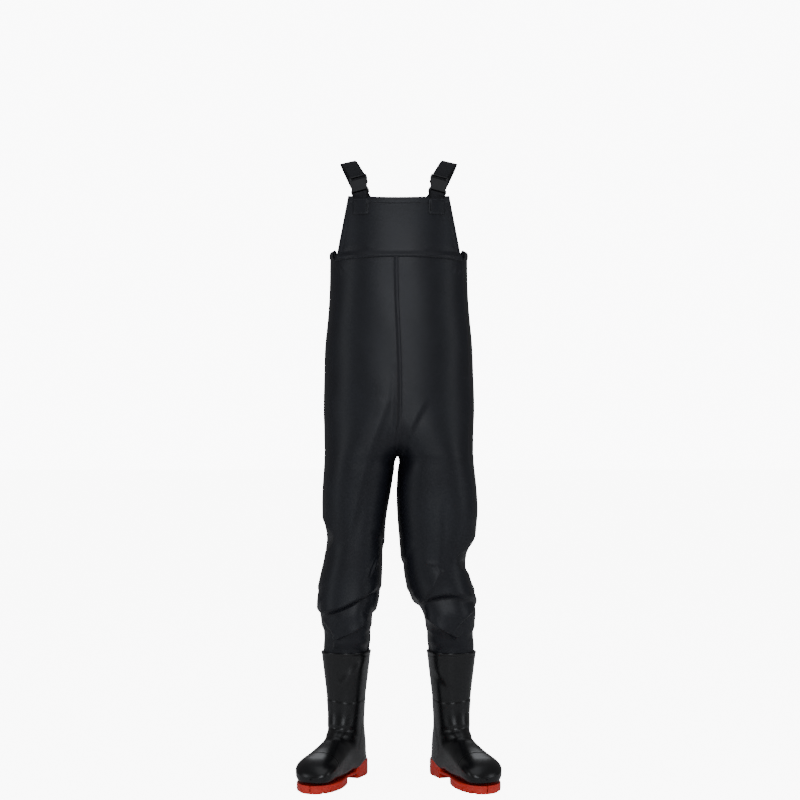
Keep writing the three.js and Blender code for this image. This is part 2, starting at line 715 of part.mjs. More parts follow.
function soleOutline() {
  const shape = new THREE.Shape();
  shape.moveTo(-6, -soleBack);
  shape.bezierCurveTo(-30, -soleBack, -42, -52, -41, -22);
  shape.bezierCurveTo(-40, 10, -38, onFoot(40), -42, onFoot(80));
  shape.bezierCurveTo(-47, onFoot(110), -soleHalfWidth, onFoot(120), 2 - soleHalfWidth, onFoot(152));
  shape.bezierCurveTo(4 - soleHalfWidth, onFoot(190), -36, toe, -9, toe);
  shape.bezierCurveTo(26, toe, soleHalfWidth - 6, onFoot(186), soleHalfWidth - 1, onFoot(150));
  shape.bezierCurveTo(soleHalfWidth + 3, onFoot(112), 42, onFoot(84), 39, onFoot(44));
  shape.bezierCurveTo(38, 14, 42, -10, 41, -22);
  shape.bezierCurveTo(41, -52, 24, -soleBack, -6, -soleBack);
  return shape;
}

// The sole's outline faces forward along +Y in its shape, and is turned to face -Y.
function soleSlab(bottom, top) {
  const slab = new THREE.ExtrudeGeometry(soleOutline(), {
    depth: top - bottom,
    bevelEnabled: false,
    curveSegments: 7,
  });
  const turned = slab.scale(1, -1, 1).translate(0, 0, bottom);
  const flipped = mergeVertices(turned.deleteAttribute("normal").deleteAttribute("uv"), 1e-4);
  return solidOf(facingOut(flipped));
}

const foxing = 24; // height of the sole's edge along the foot
const archRise = 13;
const heelFront = 10; // forward end of the heel block
const heelGrooves = [44, 26]; // how far back from the ankle
const firstGroove = 98; // forward of the ankle
const toeRim = 12; // left whole beyond the last groove
const treadPitch = 17;
const grooveWidth = 5;
const grooveDepth = 6;

function outsole() {
  const heel = soleSlab(0, heelHeight).intersect(block([-past, -heelFront, -1], [past, 100, heelHeight + 1]));
  const arch = block([-past, -84, -1], [past, -heelFront, archRise]);
  let sole = soleSlab(0, foxing).add(heel).subtract(arch).subtract(bootSolid(clearance));
  for (let start = -firstGroove; start > toeRim - toe; start -= treadPitch) {
    sole = sole.subtract(block([-past, start - grooveWidth, -1], [past, start, grooveDepth]));
  }
  for (const start of heelGrooves) {
    sole = sole.subtract(block([-past, start - grooveWidth, -1], [past, start, grooveDepth]));
  }
  return geometryOf(sole);
}

// The insole lies on the boot's floor and follows it.
const insoleThickness = 4;
const insoleToe = toe - 23; // forward of the ankle
const insoleHeel = 34; // behind it
const insoleTop = 52; // cut level where the floor rises at the heel

function insole() {
  const room = bootSolid(-bootWall - clearance);
  const low = room.subtract(room.translate([0, 0, insoleThickness]));
  return geometryOf(low.intersect(block([-past, -insoleToe, 0], [past, insoleHeel, insoleTop])));
}

const weldHeight = 20;
const weldLean = 0.12; // how far it leans inwards over each millimetre down

// The welded band between the leg and the inside of the boot.
function weldBand() {
  const ring = (grow, height) => bootRing([0, height, 0, shaftHalfWidth, shaftHalfDepth, shaftHalfDepth, 0], grow);
  const bottom = bootRim - weldHeight;
  const lean = weldHeight * weldLean;
  const outside = loft([ring(-bandInset, bootRim), ring(-bandInset - lean, bottom)]);
  const inside = loft([ring(-bandInset - tape, bootRim + 1), ring(-bandInset - tape - lean - 0.2, bottom - 1)]);
  return geometryOf(solidOf(outside).subtract(solidOf(inside)));
}

// ---------------------------------------------------------------- assembly

const coatedCloth = () => material(0x24252a, 0.62);
const webbing = () => material(0x1d1c1f, 0.85);
const buckleNylon = () => material(0x1a1a1c, 0.45);
const bootPvc = () => material(0x141416, 0.25);
const redPvc = () => material(0xc23a30, 0.4);
const foam = () => material(0x6f7075, 0.9);
const seamTape = () => material(0x2b2c31, 0.5);

const outsoleGeometry = outsole();
const insoleGeometry = insole();
const weldGeometry = weldBand();

// Everything that the garment has on both sides, built for +X. The other side is its mirror image.
function side(name) {
  const group = new THREE.Group();
  group.add(mesh(name + "_half_panel", halfPanel, coatedCloth()));
  group.add(mesh(name + "_inseam_tape", inseamTape(), seamTape()));
  group.add(mesh(name + "_side_casing", casing(), coatedCloth()));
  group.add(mesh(name + "_side_elastic", casingElastic(), webbing()));
  group.add(mesh(name + "_strap_patch", patchGeometry, webbing()));
  group.add(mesh(name + "_strap_tab", tabGeometry, webbing()));
  group.add(mesh(name + "_strap", strapGeometry, webbing()));

  const buckle = new THREE.Group();
  buckle.applyMatrix4(buckleBasis);
  buckle.add(mesh(name + "_buckle_socket", buckleSocket(), buckleNylon()));
  buckle.add(mesh(name + "_buckle_clip", buckleClip(), buckleNylon()));
  const outerArm = mesh(name + "_outer_clip_arm", clipArm(), buckleNylon());
  outerArm.position.x = armPlace;
  const innerArm = mesh(name + "_inner_clip_arm", clipArm(), buckleNylon());
  innerArm.position.x = -armPlace;
  innerArm.scale.x = -1;
  buckle.add(outerArm, innerArm);
  group.add(buckle);

  const boot = new THREE.Group();
  boot.position.set(bootCentre[0], bootCentre[1], 0);
  const foot = new THREE.Group();
  foot.rotation.z = THREE.MathUtils.degToRad(toeOut);
  foot.add(mesh(name + "_boot_upper", bootUpper, bootPvc()));
  foot.add(mesh(name + "_boot_outsole", outsoleGeometry, redPvc()));
  foot.add(mesh(name + "_boot_insole", insoleGeometry, foam()));
  foot.add(mesh(name + "_weld_band", weldGeometry, seamTape()));
  boot.add(foot);
  group.add(boot);
  return group;
}

const suit = new THREE.Group();
const rightSide = side("right");
rightSide.scale.x = -1;
suit.add(side("left"), rightSide);
suit.add(mesh("bib_panel", bibPanel, coatedCloth()));
suit.add(mesh("bib_top_hem", bibHem, coatedCloth()));
suit.add(mesh("chest_seam_tape", chestTape, seamTape()));
suit.add(mesh("centre_seam_tape", centreSeamTape(), seamTape()));
suit.add(mesh("back_patch", backPatch(), webbing()));
suit.add(mesh("back_web", backWeb, webbing()));
suit.add(mesh("back_anchor_patch", anchorPatch(), webbing()));

// The origin is under the middle of the part's box, on the ground.
const bounds = new THREE.Box3().setFromObject(suit, true);
suit.position.y = -(bounds.min.y + bounds.max.y) / 2;

const waders = new THREE.Group();
waders.add(suit);

export default waders;
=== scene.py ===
"""Chest waders: a hollow suit of coated cloth with a bib, buckled webbing straps and moulded boots."""

import json
import math

import bpy
import numpy as np
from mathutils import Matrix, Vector


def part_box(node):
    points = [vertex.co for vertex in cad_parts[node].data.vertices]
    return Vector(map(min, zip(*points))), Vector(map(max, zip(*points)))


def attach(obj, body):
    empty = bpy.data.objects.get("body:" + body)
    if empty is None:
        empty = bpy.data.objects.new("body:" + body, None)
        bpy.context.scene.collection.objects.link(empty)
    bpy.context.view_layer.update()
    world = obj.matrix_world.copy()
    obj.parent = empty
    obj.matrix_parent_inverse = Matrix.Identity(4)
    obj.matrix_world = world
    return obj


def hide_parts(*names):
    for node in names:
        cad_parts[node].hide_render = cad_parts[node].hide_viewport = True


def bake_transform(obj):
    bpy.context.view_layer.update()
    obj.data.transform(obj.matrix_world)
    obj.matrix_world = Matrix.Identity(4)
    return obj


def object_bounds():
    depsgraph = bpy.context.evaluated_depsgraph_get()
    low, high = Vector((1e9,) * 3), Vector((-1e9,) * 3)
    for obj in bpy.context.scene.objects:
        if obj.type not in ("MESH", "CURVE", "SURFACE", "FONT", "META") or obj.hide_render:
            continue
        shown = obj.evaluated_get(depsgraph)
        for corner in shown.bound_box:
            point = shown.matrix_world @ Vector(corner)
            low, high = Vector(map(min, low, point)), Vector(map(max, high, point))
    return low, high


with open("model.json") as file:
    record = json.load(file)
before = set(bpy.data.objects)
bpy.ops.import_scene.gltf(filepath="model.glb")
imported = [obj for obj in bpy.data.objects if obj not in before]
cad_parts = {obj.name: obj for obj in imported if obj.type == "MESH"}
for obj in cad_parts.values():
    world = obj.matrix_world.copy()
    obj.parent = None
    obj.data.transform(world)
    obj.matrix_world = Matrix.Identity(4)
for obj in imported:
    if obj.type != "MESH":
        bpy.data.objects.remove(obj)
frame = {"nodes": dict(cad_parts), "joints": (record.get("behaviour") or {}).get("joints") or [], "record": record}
cad_low, cad_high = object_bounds()

# ---------------- camera
# A long lens, level, a little above half the suit's height and straight in front of it.


def placed(name, data):
    """An object of the scene that shows this data."""
    made = bpy.data.objects.new(name, data)
    bpy.context.scene.collection.objects.link(made)
    return made


camera = placed("camera", bpy.data.cameras.new("camera"))
camera.data.lens = 85
camera.data.sensor_width = 36
camera.location = (0.003, -4.496, 0.904)  # about the distance of a person who looks at the whole suit
camera.rotation_euler = (math.radians(90), 0, 0)
bpy.context.scene.camera = camera

# ---------------- studio
# A matt white floor under a pale sky, one broad soft light in front and two narrow ones at the sides.


def to_linear(hex_colour):
    """An sRGB hex colour as the linear colour that shaders take."""
    channels = [int(hex_colour[i : i + 2], 16) / 255 for i in (1, 3, 5)]
    return [c / 12.92 if c <= 0.04045 else ((c + 0.055) / 1.055) ** 2.4 for c in channels] + [1.0]


def add_node(tree, kind, settings=(), links=()):
    """One shader node, with its settings and input values, and the sockets that feed it."""
    made = tree.nodes.new(kind)
    for name, value in dict(settings).items():
        if isinstance(name, int) or name in made.inputs:
            made.inputs[name].default_value = value
        else:
            setattr(made, name, value)
    for name, source in dict(links).items():
        tree.links.new(source, made.inputs[name])
    return made


def new_material(name, values=()):
    """A material with these values of its surface shader, its node tree and that shader."""
    made = bpy.data.materials.new(name)
    made.use_nodes = True
    surface = made.node_tree.nodes["Principled BSDF"]
    for socket, value in dict(values).items():
        surface.inputs[socket].default_value = to_linear(value) if isinstance(value, str) else value
    return made, made.node_tree, surface


def shine(tree, socket, as_light, as_seen):
    """Gives a surface or the sky one strength as a light and another as what the eye sees."""
    rays = add_node(tree, "ShaderNodeLightPath")
    strength = add_node(
        tree, "ShaderNodeMapRange", {"To Min": as_light, "To Max": as_seen},
        {"Value": rays.outputs["Is Camera Ray"]},
    )
    tree.links.new(strength.outputs["Result"], socket)


# Painted plaster floor: quite matt, so that the boots leave only a faint reflection. It is lit as
# evenly as the sky behind it, as far as the eye sees, so that no horizon shows.
plaster, tree, surface = new_material(
    "white_plaster_matt", {"Base Color": "#F2F2F2", "Roughness": 0.75, "Emission Color": "#FFFFFF"}
)
shine(tree, surface.inputs["Emission Strength"], 0.0, 9.0)

floor_size = 40.0
floor_gap = 0.0005
bpy.ops.mesh.primitive_plane_add(size=floor_size, location=(0, 0, cad_low.z - floor_gap))
floor = bpy.context.object
floor.name = "floor"
floor.data.materials.append(plaster)

daylight = (0.92, 0.95, 1.0)
suit_middle = Vector((0, 0, 0.8))


def soft_light(name, place, width, height, watts):
    """A rectangular studio light that faces the suit."""
    light = bpy.data.lights.new(name, "AREA")
    light.color = daylight
    light.shape = "RECTANGLE"
    light.size = width
    light.size_y = height
    light.energy = watts
    lamp = placed(name, light)
    lamp.location = place
    lamp.rotation_euler = (suit_middle - Vector(place)).to_track_quat("-Z", "Y").to_euler()


soft_light("front_light", (0.0, -3.5, 1.8), 1.4, 2.4, 42)
soft_light("left_light", (-3.0, -1.3, 1.3), 0.7, 2.2, 13)
soft_light("right_light", (3.0, -1.3, 1.3), 0.7, 2.2, 13)
soft_light("back_light", (0.0, 3.2, 2.6), 2.4, 1.6, 16.8)
soft_light("top_light", (0.0, -0.6, 3.6), 3.0, 3.0, 22)

world = bpy.data.worlds.new("pale_sky")
bpy.context.scene.world = world
world.use_nodes = True
sky = world.node_tree.nodes["Background"]
sky.inputs["Color"].default_value = to_linear("#F4F4F5")
# The sky gives only a weak light, but is seen as white.
shine(world.node_tree, sky.inputs["Strength"], 0.2, 11.0)

# ---------------- trouser halves
# Each half is one piece of knitted cloth with a thin rubbery coating, cut to go round the hip and the
# leg and welded at the centre seam and the inseam. It keeps the folds of a knee that has been bent.

mm = 0.001
cloth_thickness = 1.3 * mm
toe_out = math.radians(23)
heel_to_ankle = 33 * mm
heel_tread = next(m["pos_m"] for m in frame["record"]["mounts"] if m["name"] == "left_heel_tread")
ankle_x = heel_tread[0] + heel_to_ankle * math.sin(toe_out)
ankle_y = heel_tread[1] - heel_to_ankle * math.cos(toe_out)
suit_y = ankle_y - 6 * mm
chest_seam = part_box("left_half_panel")[1].z
boot_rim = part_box("left_boot_upper")[1].z
sides = {"left": 1, "right": -1}

# Height, outer side, inner side, front and back of the suit round one leg, in millimetres.
suit_sections = np.array([
    [1382, 150, -150, -108, 108],
    [1310, 158, -158, -118, 116],
    [1236, 163.5, -163.5, -126, 122],
    [1185, 165, -165, -128, 123],
    [1110, 169, -169, -131, 125],
    [1023, 177, -177, -132, 129],
    [960, 179, -179, -132, 135],
    [904, 180, -180, -132, 138],
    [870, 180, -150, -131, 138],
    [840, 179, -105, -130, 137],
    [809, 179, -60, -127, 134],
    [785, 179, -22, -124, 130],
    [775, 179, -8, -123, 128],
    [769, 180, -1.5, -122, 126],
    [763, 180, 3, -121, 124],
    [737, 182, 5, -118, 118],
    [690, 186, 8, -112, 110],
    [630, 187, 14, -107, 102],
    [571, 177, 20, -102, 96],
    [530, 171, 24, -98, 93],
    [476, 182, 30, -92, 92],
    [428, 190, 42, -87, 90],
    [396, 190, 59, -84, 88],
    [370, 185, 66, -74, 82],
    [335, 180, 69, -60, 74],
    [307, 182, 70, -56, 68],
    [262, 182, 70, -56, 68],
])
# How far each leg's outer side stands out beyond the pattern at a height, and the lean of the fork.
outer_side = {
    "right": [(904, 0), (690, -3), (618, -6), (571, -7), (535, 6), (476, 7), (428, 4), (396, 1), (330, 0)],
    "left": [(904, 0), (690, 1), (618, 3), (571, 4), (535, -9), (476, -11), (428, -5), (396, -4), (330, 0)],
}
fork_lean = [
    (1236, -3), (766, -3), (737, -7), (690, -12), (571, -18), (476, -14), (428, -9), (396, -2), (330, 0)
]
squareness = 2.4  # of the suit's section: 2 is an ellipse, and more is squarer
crotch = 766


def run_along(points):
    """How far along a line each of its points is."""
    return np.concatenate([[0], np.cumsum(np.linalg.norm(np.diff(points, axis=0), axis=1))])


def at_run(where, run, values):
    """Rows of values, given along a line, at these distances along it."""
    return np.stack([np.interp(where, run, column) for column in values.T], axis=-1)


def through(points, steps):
    """Points of a smooth curve through the given ones, evenly spaced in their index."""
    points = np.asarray(points, float)
    ends = np.vstack([2 * points[0] - points[1], points, 2 * points[-1] - points[-2]])
    gaps = np.maximum(np.linalg.norm(np.diff(ends, axis=0), axis=1), 1e-9)
    knots = np.concatenate([[0], np.cumsum(gaps**0.5)])
    place = np.linspace(0, len(points) - 1, steps)
    start = np.minimum(place.astype(int), len(points) - 2)
    p = [ends[start + k] for k in range(4)]
    t = [knots[start + k][:, None] for k in range(4)]
    at = t[1] + (place - start)[:, None] * (t[2] - t[1])
    a = [((t[k + 1] - at) * p[k] + (at - t[k]) * p[k + 1]) / (t[k + 1] - t[k]) for k in range(3)]
    b = [((t[k + 2] - at) * a[k] + (at - t[k]) * a[k + 1]) / (t[k + 2] - t[k]) for k in range(2)]
    return ((t[2] - at) * b[0] + (at - t[1]) * b[1]) / (t[2] - t[1])


def smooth_rows(table, heights):
    """The table's columns at these heights, on a smooth curve through its rows."""
    table = table[np.argsort(table[:, 0])]
    z, rows = table[:, 0], table[:, 1:]
    slope = np.diff(rows, axis=0) / np.diff(z)[:, None]
    gap = np.diff(z)[:, None]
    middle = (slope[:-1] * gap[1:] + slope[1:] * gap[:-1]) / (gap[:-1] + gap[1:])
    tangent = np.vstack([slope[0], middle, slope[-1]])
    k = np.clip(np.searchsorted(z, heights) - 1, 0, len(z) - 2)
    h = (z[k + 1] - z[k])[:, None]
    t = ((heights - z[k]) / (z[k + 1] - z[k]))[:, None]
    return (
        rows[k] * (1 + 2 * t) * (1 - t) ** 2
        + rows[k + 1] * t * t * (3 - 2 * t)
        + tangent[k] * h * t * (1 - t) ** 2
        - tangent[k + 1] * h * t * t * (1 - t)
    )


def at_height(pairs, heights):
    """Values given at a few heights, smoothed between them."""
    table = np.array(pairs, float)
    return smooth_rows(table, np.clip(heights, table[:, 0].min(), table[:, 0].max()))[:, 0]


def signed_power(value, exponent):
    return np.sign(value) * np.abs(value) ** exponent


def smoothstep(value, low, high):
    t = np.clip((value - low) / (high - low), 0, 1)
    return t * t * (3 - 2 * t)


def grid_normals(grid):
    """Unit normals of a grid of points, rows downwards."""
    along = np.gradient(grid, axis=1)
    down = np.gradient(grid, axis=0)
    normal = np.cross(along, down)
    return normal / np.maximum(np.linalg.norm(normal, axis=2, keepdims=True), 1e-12)


def lifted(grid, normals, lift):
    """A grid moved out along its normals by a lift in millimetres."""
    return grid + normals * (lift * mm)[..., None]


smooth_limit = math.radians(50)


def grid_mesh(name, outer, inner, materials, wrap=False):
    """A closed sheet between two matching grids. Its UV map holds metres along and down the sheet."""
    rows, columns, _ = outer.shape
    number = np.arange(rows * columns).reshape(rows, columns)
    if wrap:
        number = np.hstack([number, number[:, :1]])
    shift = rows * columns
    quads = np.stack([number[:-1, :-1], number[:-1, 1:], number[1:, 1:], number[1:, :-1]], axis=-1)
    quads = quads.reshape(-1, 4)
    edges = [number[0], number[-1][::-1]]
    if not wrap:
        edges += [number[::-1, 0], number[:, -1]]
    rims = [np.stack([e[1:], e[:-1], e[:-1] + shift, e[1:] + shift], axis=-1) for e in edges]
    faces = np.vstack([quads, quads[:, ::-1] + shift, *rims])
    points = np.vstack([outer.reshape(-1, 3), inner.reshape(-1, 3)])
    made = bpy.data.meshes.new(name)
    made.vertices.add(len(points))
    made.vertices.foreach_set("co", points.astype(np.float32).ravel())
    made.loops.add(faces.size)
    made.loops.foreach_set("vertex_index", faces.astype(np.int32).ravel())
    made.polygons.add(len(faces))
    made.polygons.foreach_set("loop_start", np.arange(0, faces.size, 4, dtype=np.int32))
    made.polygons.foreach_set("use_smooth", np.ones(len(faces), bool))
    lining = np.zeros(len(faces), np.int32)
    lining[len(quads) : 2 * len(quads)] = len(materials) - 1
    made.polygons.foreach_set("material_index", lining)
    across = np.linalg.norm(np.diff(outer, axis=1), axis=2).mean(0)
    down = np.linalg.norm(np.diff(outer, axis=0), axis=2).mean(1)
    u, v = np.meshgrid(np.concatenate([[0], np.cumsum(across)]), np.concatenate([[0], np.cumsum(down)]))
    uv = np.tile(np.stack([u.ravel(), v.ravel()], axis=-1), (2, 1))
    made.uv_layers.new(name="sheet").data.foreach_set("uv", uv[faces.ravel()].astype(np.float32).ravel())
    made.update()
    made.validate()
    made.set_sharp_from_angle(angle=smooth_limit)
    for material in materials:
        made.materials.append(material)
    return placed(name, made)


crest = 1.3  # of a crease: 2 is round, and 1 is a sharp edge
crease_steps = 6  # points of a crease's line for each that is given
crease_reach = 2.2  # spreads beyond which a crease has faded
crease_taper = 0.6  # how quickly it rises at its ends: less is quicker
faces_it = (0.2, 0.55)  # how far the cloth has to face a crease's side before the crease shows


def fold(points, normals, facing, line, above, below, edge):
    """How far one crease lifts the cloth, in millimetres.

    The line is seen from the side that the crease is on, as (across, height); a corner is seen from
    the front and goes on round the leg's side. Above and below it the cloth is lifted by (height, how
    far that spreads), and edge is how wide the step between them is.
    """
    axis = 1 if facing in ("outer", "inner") else 0
    flat = np.stack([points[..., axis], points[..., 2]], axis=-1).reshape(-1, 2) / mm
    path = through(line, crease_steps * len(line))
    spread = crease_reach * max(above[1], below[1])
    near = np.all((flat > path.min(0) - spread) & (flat < path.max(0) + spread), axis=1)
    lift = np.zeros(len(flat))
    if not near.any():
        return lift.reshape(points.shape[:2])
    starts, spans = path[:-1], np.diff(path, axis=0)
    lengths = np.linalg.norm(spans, axis=1)
    offset = flat[near][:, None, :] - starts[None]
    share = np.clip((offset * spans).sum(-1) / lengths**2, 0, 1)
    away = offset - share[..., None] * spans
    distance = np.linalg.norm(away, axis=-1)
    closest = distance.argmin(1)
    pick = np.arange(len(closest))
    turn = spans[closest, 0] * offset[pick, closest, 1] - spans[closest, 1] * offset[pick, closest, 0]
    side = np.sign(turn) * distance[pick, closest]
    along = (run_along(path)[closest] + share[pick, closest] * lengths[closest]) / lengths.sum()
    taper = np.sin(math.pi * np.clip(along, 0, 1)) ** crease_taper
    over = above[0] * np.exp(-(np.abs(side / above[1]) ** crest))
    under = below[0] * np.exp(-(np.abs(side / below[1]) ** crest))
    lift[near] = (under + (over - under) * smoothstep(side, -edge / 2, edge / 2)) * taper
    toward = {"front": -normals[..., 1], "corner": 0.3 - normals[..., 1], "back": normals[..., 1]}
    turned_to = toward.get(facing, np.abs(normals[..., 0]))
    return lift.reshape(points.shape[:2]) * smoothstep(turned_to, *faces_it)


def pattern(tree, kind, settings):
    """A texture node that lies in the piece's own space."""
    place = add_node(tree, "ShaderNodeTexCoord")
    return add_node(tree, kind, settings, {"Vector": place.outputs["Object"]})


def bumped(tree, surface, height, strength, depth):
    """Gives a surface a fine relief."""
    bump = add_node(tree, "ShaderNodeBump", {"Strength": strength, "Distance": depth}, {"Height": height})
    tree.links.new(bump.outputs["Normal"], surface.inputs["Normal"])


def two_tones(tree, factor, dark, light, low=0.0, high=1.0):
    """A colour that goes from dark to light as a factor goes from low to high."""
    ramp = add_node(tree, "ShaderNodeValToRGB", links={"Fac": factor})
    for stop, position, colour in zip(ramp.color_ramp.elements, (low, high), (dark, light)):
        stop.position = position
        stop.color = to_linear(colour)
    return ramp.outputs["Color"]





# Coated cloth, rubber-like polymer on a knit: near black with a blue cast, satin where it is stretched,
# with a fine grain of the coating that breaks up the highlights.
coated_cloth, tree, surface = new_material("coated_cloth_satin", {"Specular IOR Level": 0.38})
coating_grain = 0.9 * mm  # really 0.2 to 0.3 mm; drawn coarser so that it shows
worn_patches = 9.0  # to a metre
grain = pattern(
    tree, "ShaderNodeTexNoise", {"Scale": 1 / coating_grain, "Detail": 2.0, "Roughness": 0.5}
)
wear = pattern(tree, "ShaderNodeTexNoise", {"Scale": worn_patches, "Detail": 3.0, "Roughness": 0.6})
tone = two_tones(tree, wear.outputs["Fac"], "#12131A", "#171920", 0.35, 0.7)
gloss = add_node(
    tree, "ShaderNodeMapRange", {"To Min": 0.40, "To Max": 0.52}, {"Value": wear.outputs["Fac"]}
)
tree.links.new(tone, surface.inputs["Base Color"])
tree.links.new(gloss.outputs["Result"], surface.inputs["Roughness"])
bumped(tree, surface, grain.outputs["Fac"], 0.12, 0.4 * mm)

# The uncoated back of the knit: soft mid grey with fine ribs and no shine.
knit_lining, tree, surface = new_material(
    "polyester_knit_lining", {"Base Color": "#3F4147", "Roughness": 0.9, "Specular IOR Level": 0.2}
)
knit_rib = 3.2 * mm  # really about 0.8 mm; drawn coarser so that it shows
wave_bands = 3.1415  # to a metre, of a wave texture of scale 1
ribs = pattern(
    tree,
    "ShaderNodeTexWave",
    {"Scale": 1 / (knit_rib * wave_bands), "Distortion": 1.2, "Detail": 1.0, "bands_direction": "Z"},
)
bumped(tree, surface, ribs.outputs["Fac"], 0.25, 0.4 * mm)

# Creases, by the side that they are seen from: the line as (across, height), the lift above and below
# it as (height, spread), and the width of its edge, in millimetres. The right knee is bent the more.
folds = {
    "right": {
        "front": [
            ([(-200, 384), (-170, 398), (-128, 414), (-92, 433), (-44, 458)], (11, 44), (-12, 28), 15),
            ([(-146, 337), (-125, 350), (-98, 366), (-70, 388)], (14, 18), (-1, 12), 5),
            ([(-196, 388), (-176, 372), (-159, 354), (-154, 333), (-158, 305)], (5, 12), (-1.7, 12), 8),
            ([(-86, 472), (-66, 512), (-42, 562)], (0.9, 8), (3, 10), 6),
            ([(-68, 486), (-56, 520), (-40, 550)], (-2.7, 5), (2.1, 10), 6),
            ([(-118, 560), (-74, 725), (-22, 905)], (3.6, 55), (-2.5, 45), 22),
            ([(-20, 762), (-16, 860), (-10, 985)], (-2.7, 10), (-2.5, 11), 8),
            ([(-170, 912), (-160, 880), (-155, 852)], (1.8, 9), (0.8, 10), 8),
            ([(-158, 1231), (-146, 1214), (-139, 1196)], (2.2, 8), (-0.8, 9), 6),
            ([(-150, 1228), (-135, 1216), (-128, 1205)], (1.4, 6), (-0.8, 8), 6),
        ],
        "corner": [
            ([(-192, 640), (-170, 606), (-153, 584), (-160, 562), (-192, 530)], (5, 13), (-8, 18), 5),
        ],
        "outer": [
            ([(-60, 600), (-20, 585), (30, 560), (70, 520)], (2.8, 29), (-3, 22), 16),
            ([(-30, 430), (0, 408), (40, 398), (80, 420)], (3.9, 31), (-3.5, 22), 16),
            ([(-20, 350), (30, 362), (70, 350)], (2.2, 18), (-1.5, 17), 16),
        ],
        "back": [
            ([(-170, 560), (-120, 536), (-70, 545), (-30, 570)], (4.2, 20), (-4.5, 18), 12),
            ([(-175, 510), (-130, 520), (-80, 505), (-38, 512)], (4.2, 18), (-3.9, 18), 12),
            ([(-165, 468), (-110, 480), (-60, 462)], (3.5, 18), (-3.2, 18), 12),
            ([(-180, 392), (-130, 375), (-80, 398)], (4.9, 22), (-3.9, 18), 12),
            ([(-170, 335), (-120, 350), (-85, 338)], (2.8, 12), (-2, 13), 12),
            ([(-165, 790), (-100, 758), (-25, 772)], (3.5, 30), (-3.2, 26), 18),
            ([(-150, 715), (-95, 700), (-40, 722)], (2.1, 26), (-2, 23), 16),
        ],
        "inner": [
            ([(-40, 470), (10, 452), (60, 470)], (2.2, 21), (-2, 17), 16),
        ],
    },
    "left": {
        "front": [
            ([(50, 416), (76, 456), (104, 506)], (10, 26), (7, 15), 4),
            ([(52, 414), (72, 432), (122, 442), (168, 432), (186, 424)], (6, 38), (-10, 28), 18),
            ([(54, 405), (95, 376), (140, 340)], (16, 17), (9, 12), 3),
            ([(132, 362), (152, 382), (180, 404)], (2.7, 14), (-3.4, 15), 8),
            ([(54, 517), (82, 516), (100, 494)], (2.2, 10), (0, 10), 6),
            ([(98, 486), (100, 570), (101, 675)], (1.8, 40), (-1.3, 45), 16),
            ([(8, 728), (13, 772), (24, 820)], (-5.4, 10), (-4.2, 15), 10),
            ([(22, 800), (40, 850), (70, 905)], (1.8, 26), (-1.7, 25), 16),
            ([(139, 1196), (146, 1214), (158, 1231)], (-0.9, 7), (2.1, 10), 6),
            ([(128, 1205), (135, 1216), (150, 1228)], (-0.9, 6), (1.4, 8), 6),
        ],
        "corner": [
            ([(192, 590), (166, 556), (138, 532), (142, 514), (162, 496), (184, 480)], (-8, 17), (5, 12), 5),
        ],
        "outer": [
            ([(-60, 560), (-20, 530), (30, 520), (70, 490)], (2.8, 29), (-3, 22), 16),
            ([(-40, 440), (0, 428), (50, 410), (80, 400)], (3.3, 31), (-3.5, 22), 16),
            ([(-20, 345), (30, 358), (70, 344)], (2.2, 18), (-1.5, 17), 16),
        ],
        "back": [
            ([(32, 556), (80, 534), (130, 545), (172, 536)], (4.2, 20), (-4.5, 18), 12),
            ([(40, 498), (90, 512), (140, 496), (175, 502)], (4.2, 18), (-3.9, 18), 12),
            ([(60, 455), (110, 470), (165, 452)], (3.5, 18), (-3.2, 18), 12),
            ([(78, 385), (130, 372), (182, 395)], (4.9, 22), (-3.9, 18), 12),
            ([(82, 330), (125, 346), (172, 332)], (2.8, 12), (-2, 13), 12),
            ([(25, 768), (95, 756), (165, 786)], (3.5, 30), (-3.2, 26), 18),
            ([(38, 712), (95, 698), (150, 716)], (2.1, 26), (-2, 23), 16),
        ],
        "inner": [
            ([(-40, 462), (10, 446), (60, 460)], (2.2, 21), (-2, 17), 16),
        ],
    },
}

shaft_half_width, shaft_half_depth, shaft_squareness = 56, 62, 2.3  # of the boot's rim
leg_in_shaft = 4.6  # from the boot's outside to the cloth, in millimetres
shaft_taper = 9  # millimetres down for each that the shaft narrows
above_chest_seam = 7  # how far the halves go up behind the bib
knee_top, leg_end = 640, 262  # the cloth is finer from the one down to the other
torso_row, leg_row, half_columns = 4.5, 2.3, 216
shaft_top, fully_tucked = 330, 305  # between these the leg takes the shaft's section
creases_end = (303, 322)
fork_reach = 95  # how far out from the middle the fork's lean is felt
ripple_height = 0.45
seam_gap = 0.15  # from each half's edge to the middle of the suit
inseam_closing = 0.99995  # how nearly a leg's section comes round to the inseam: 1 is all the way


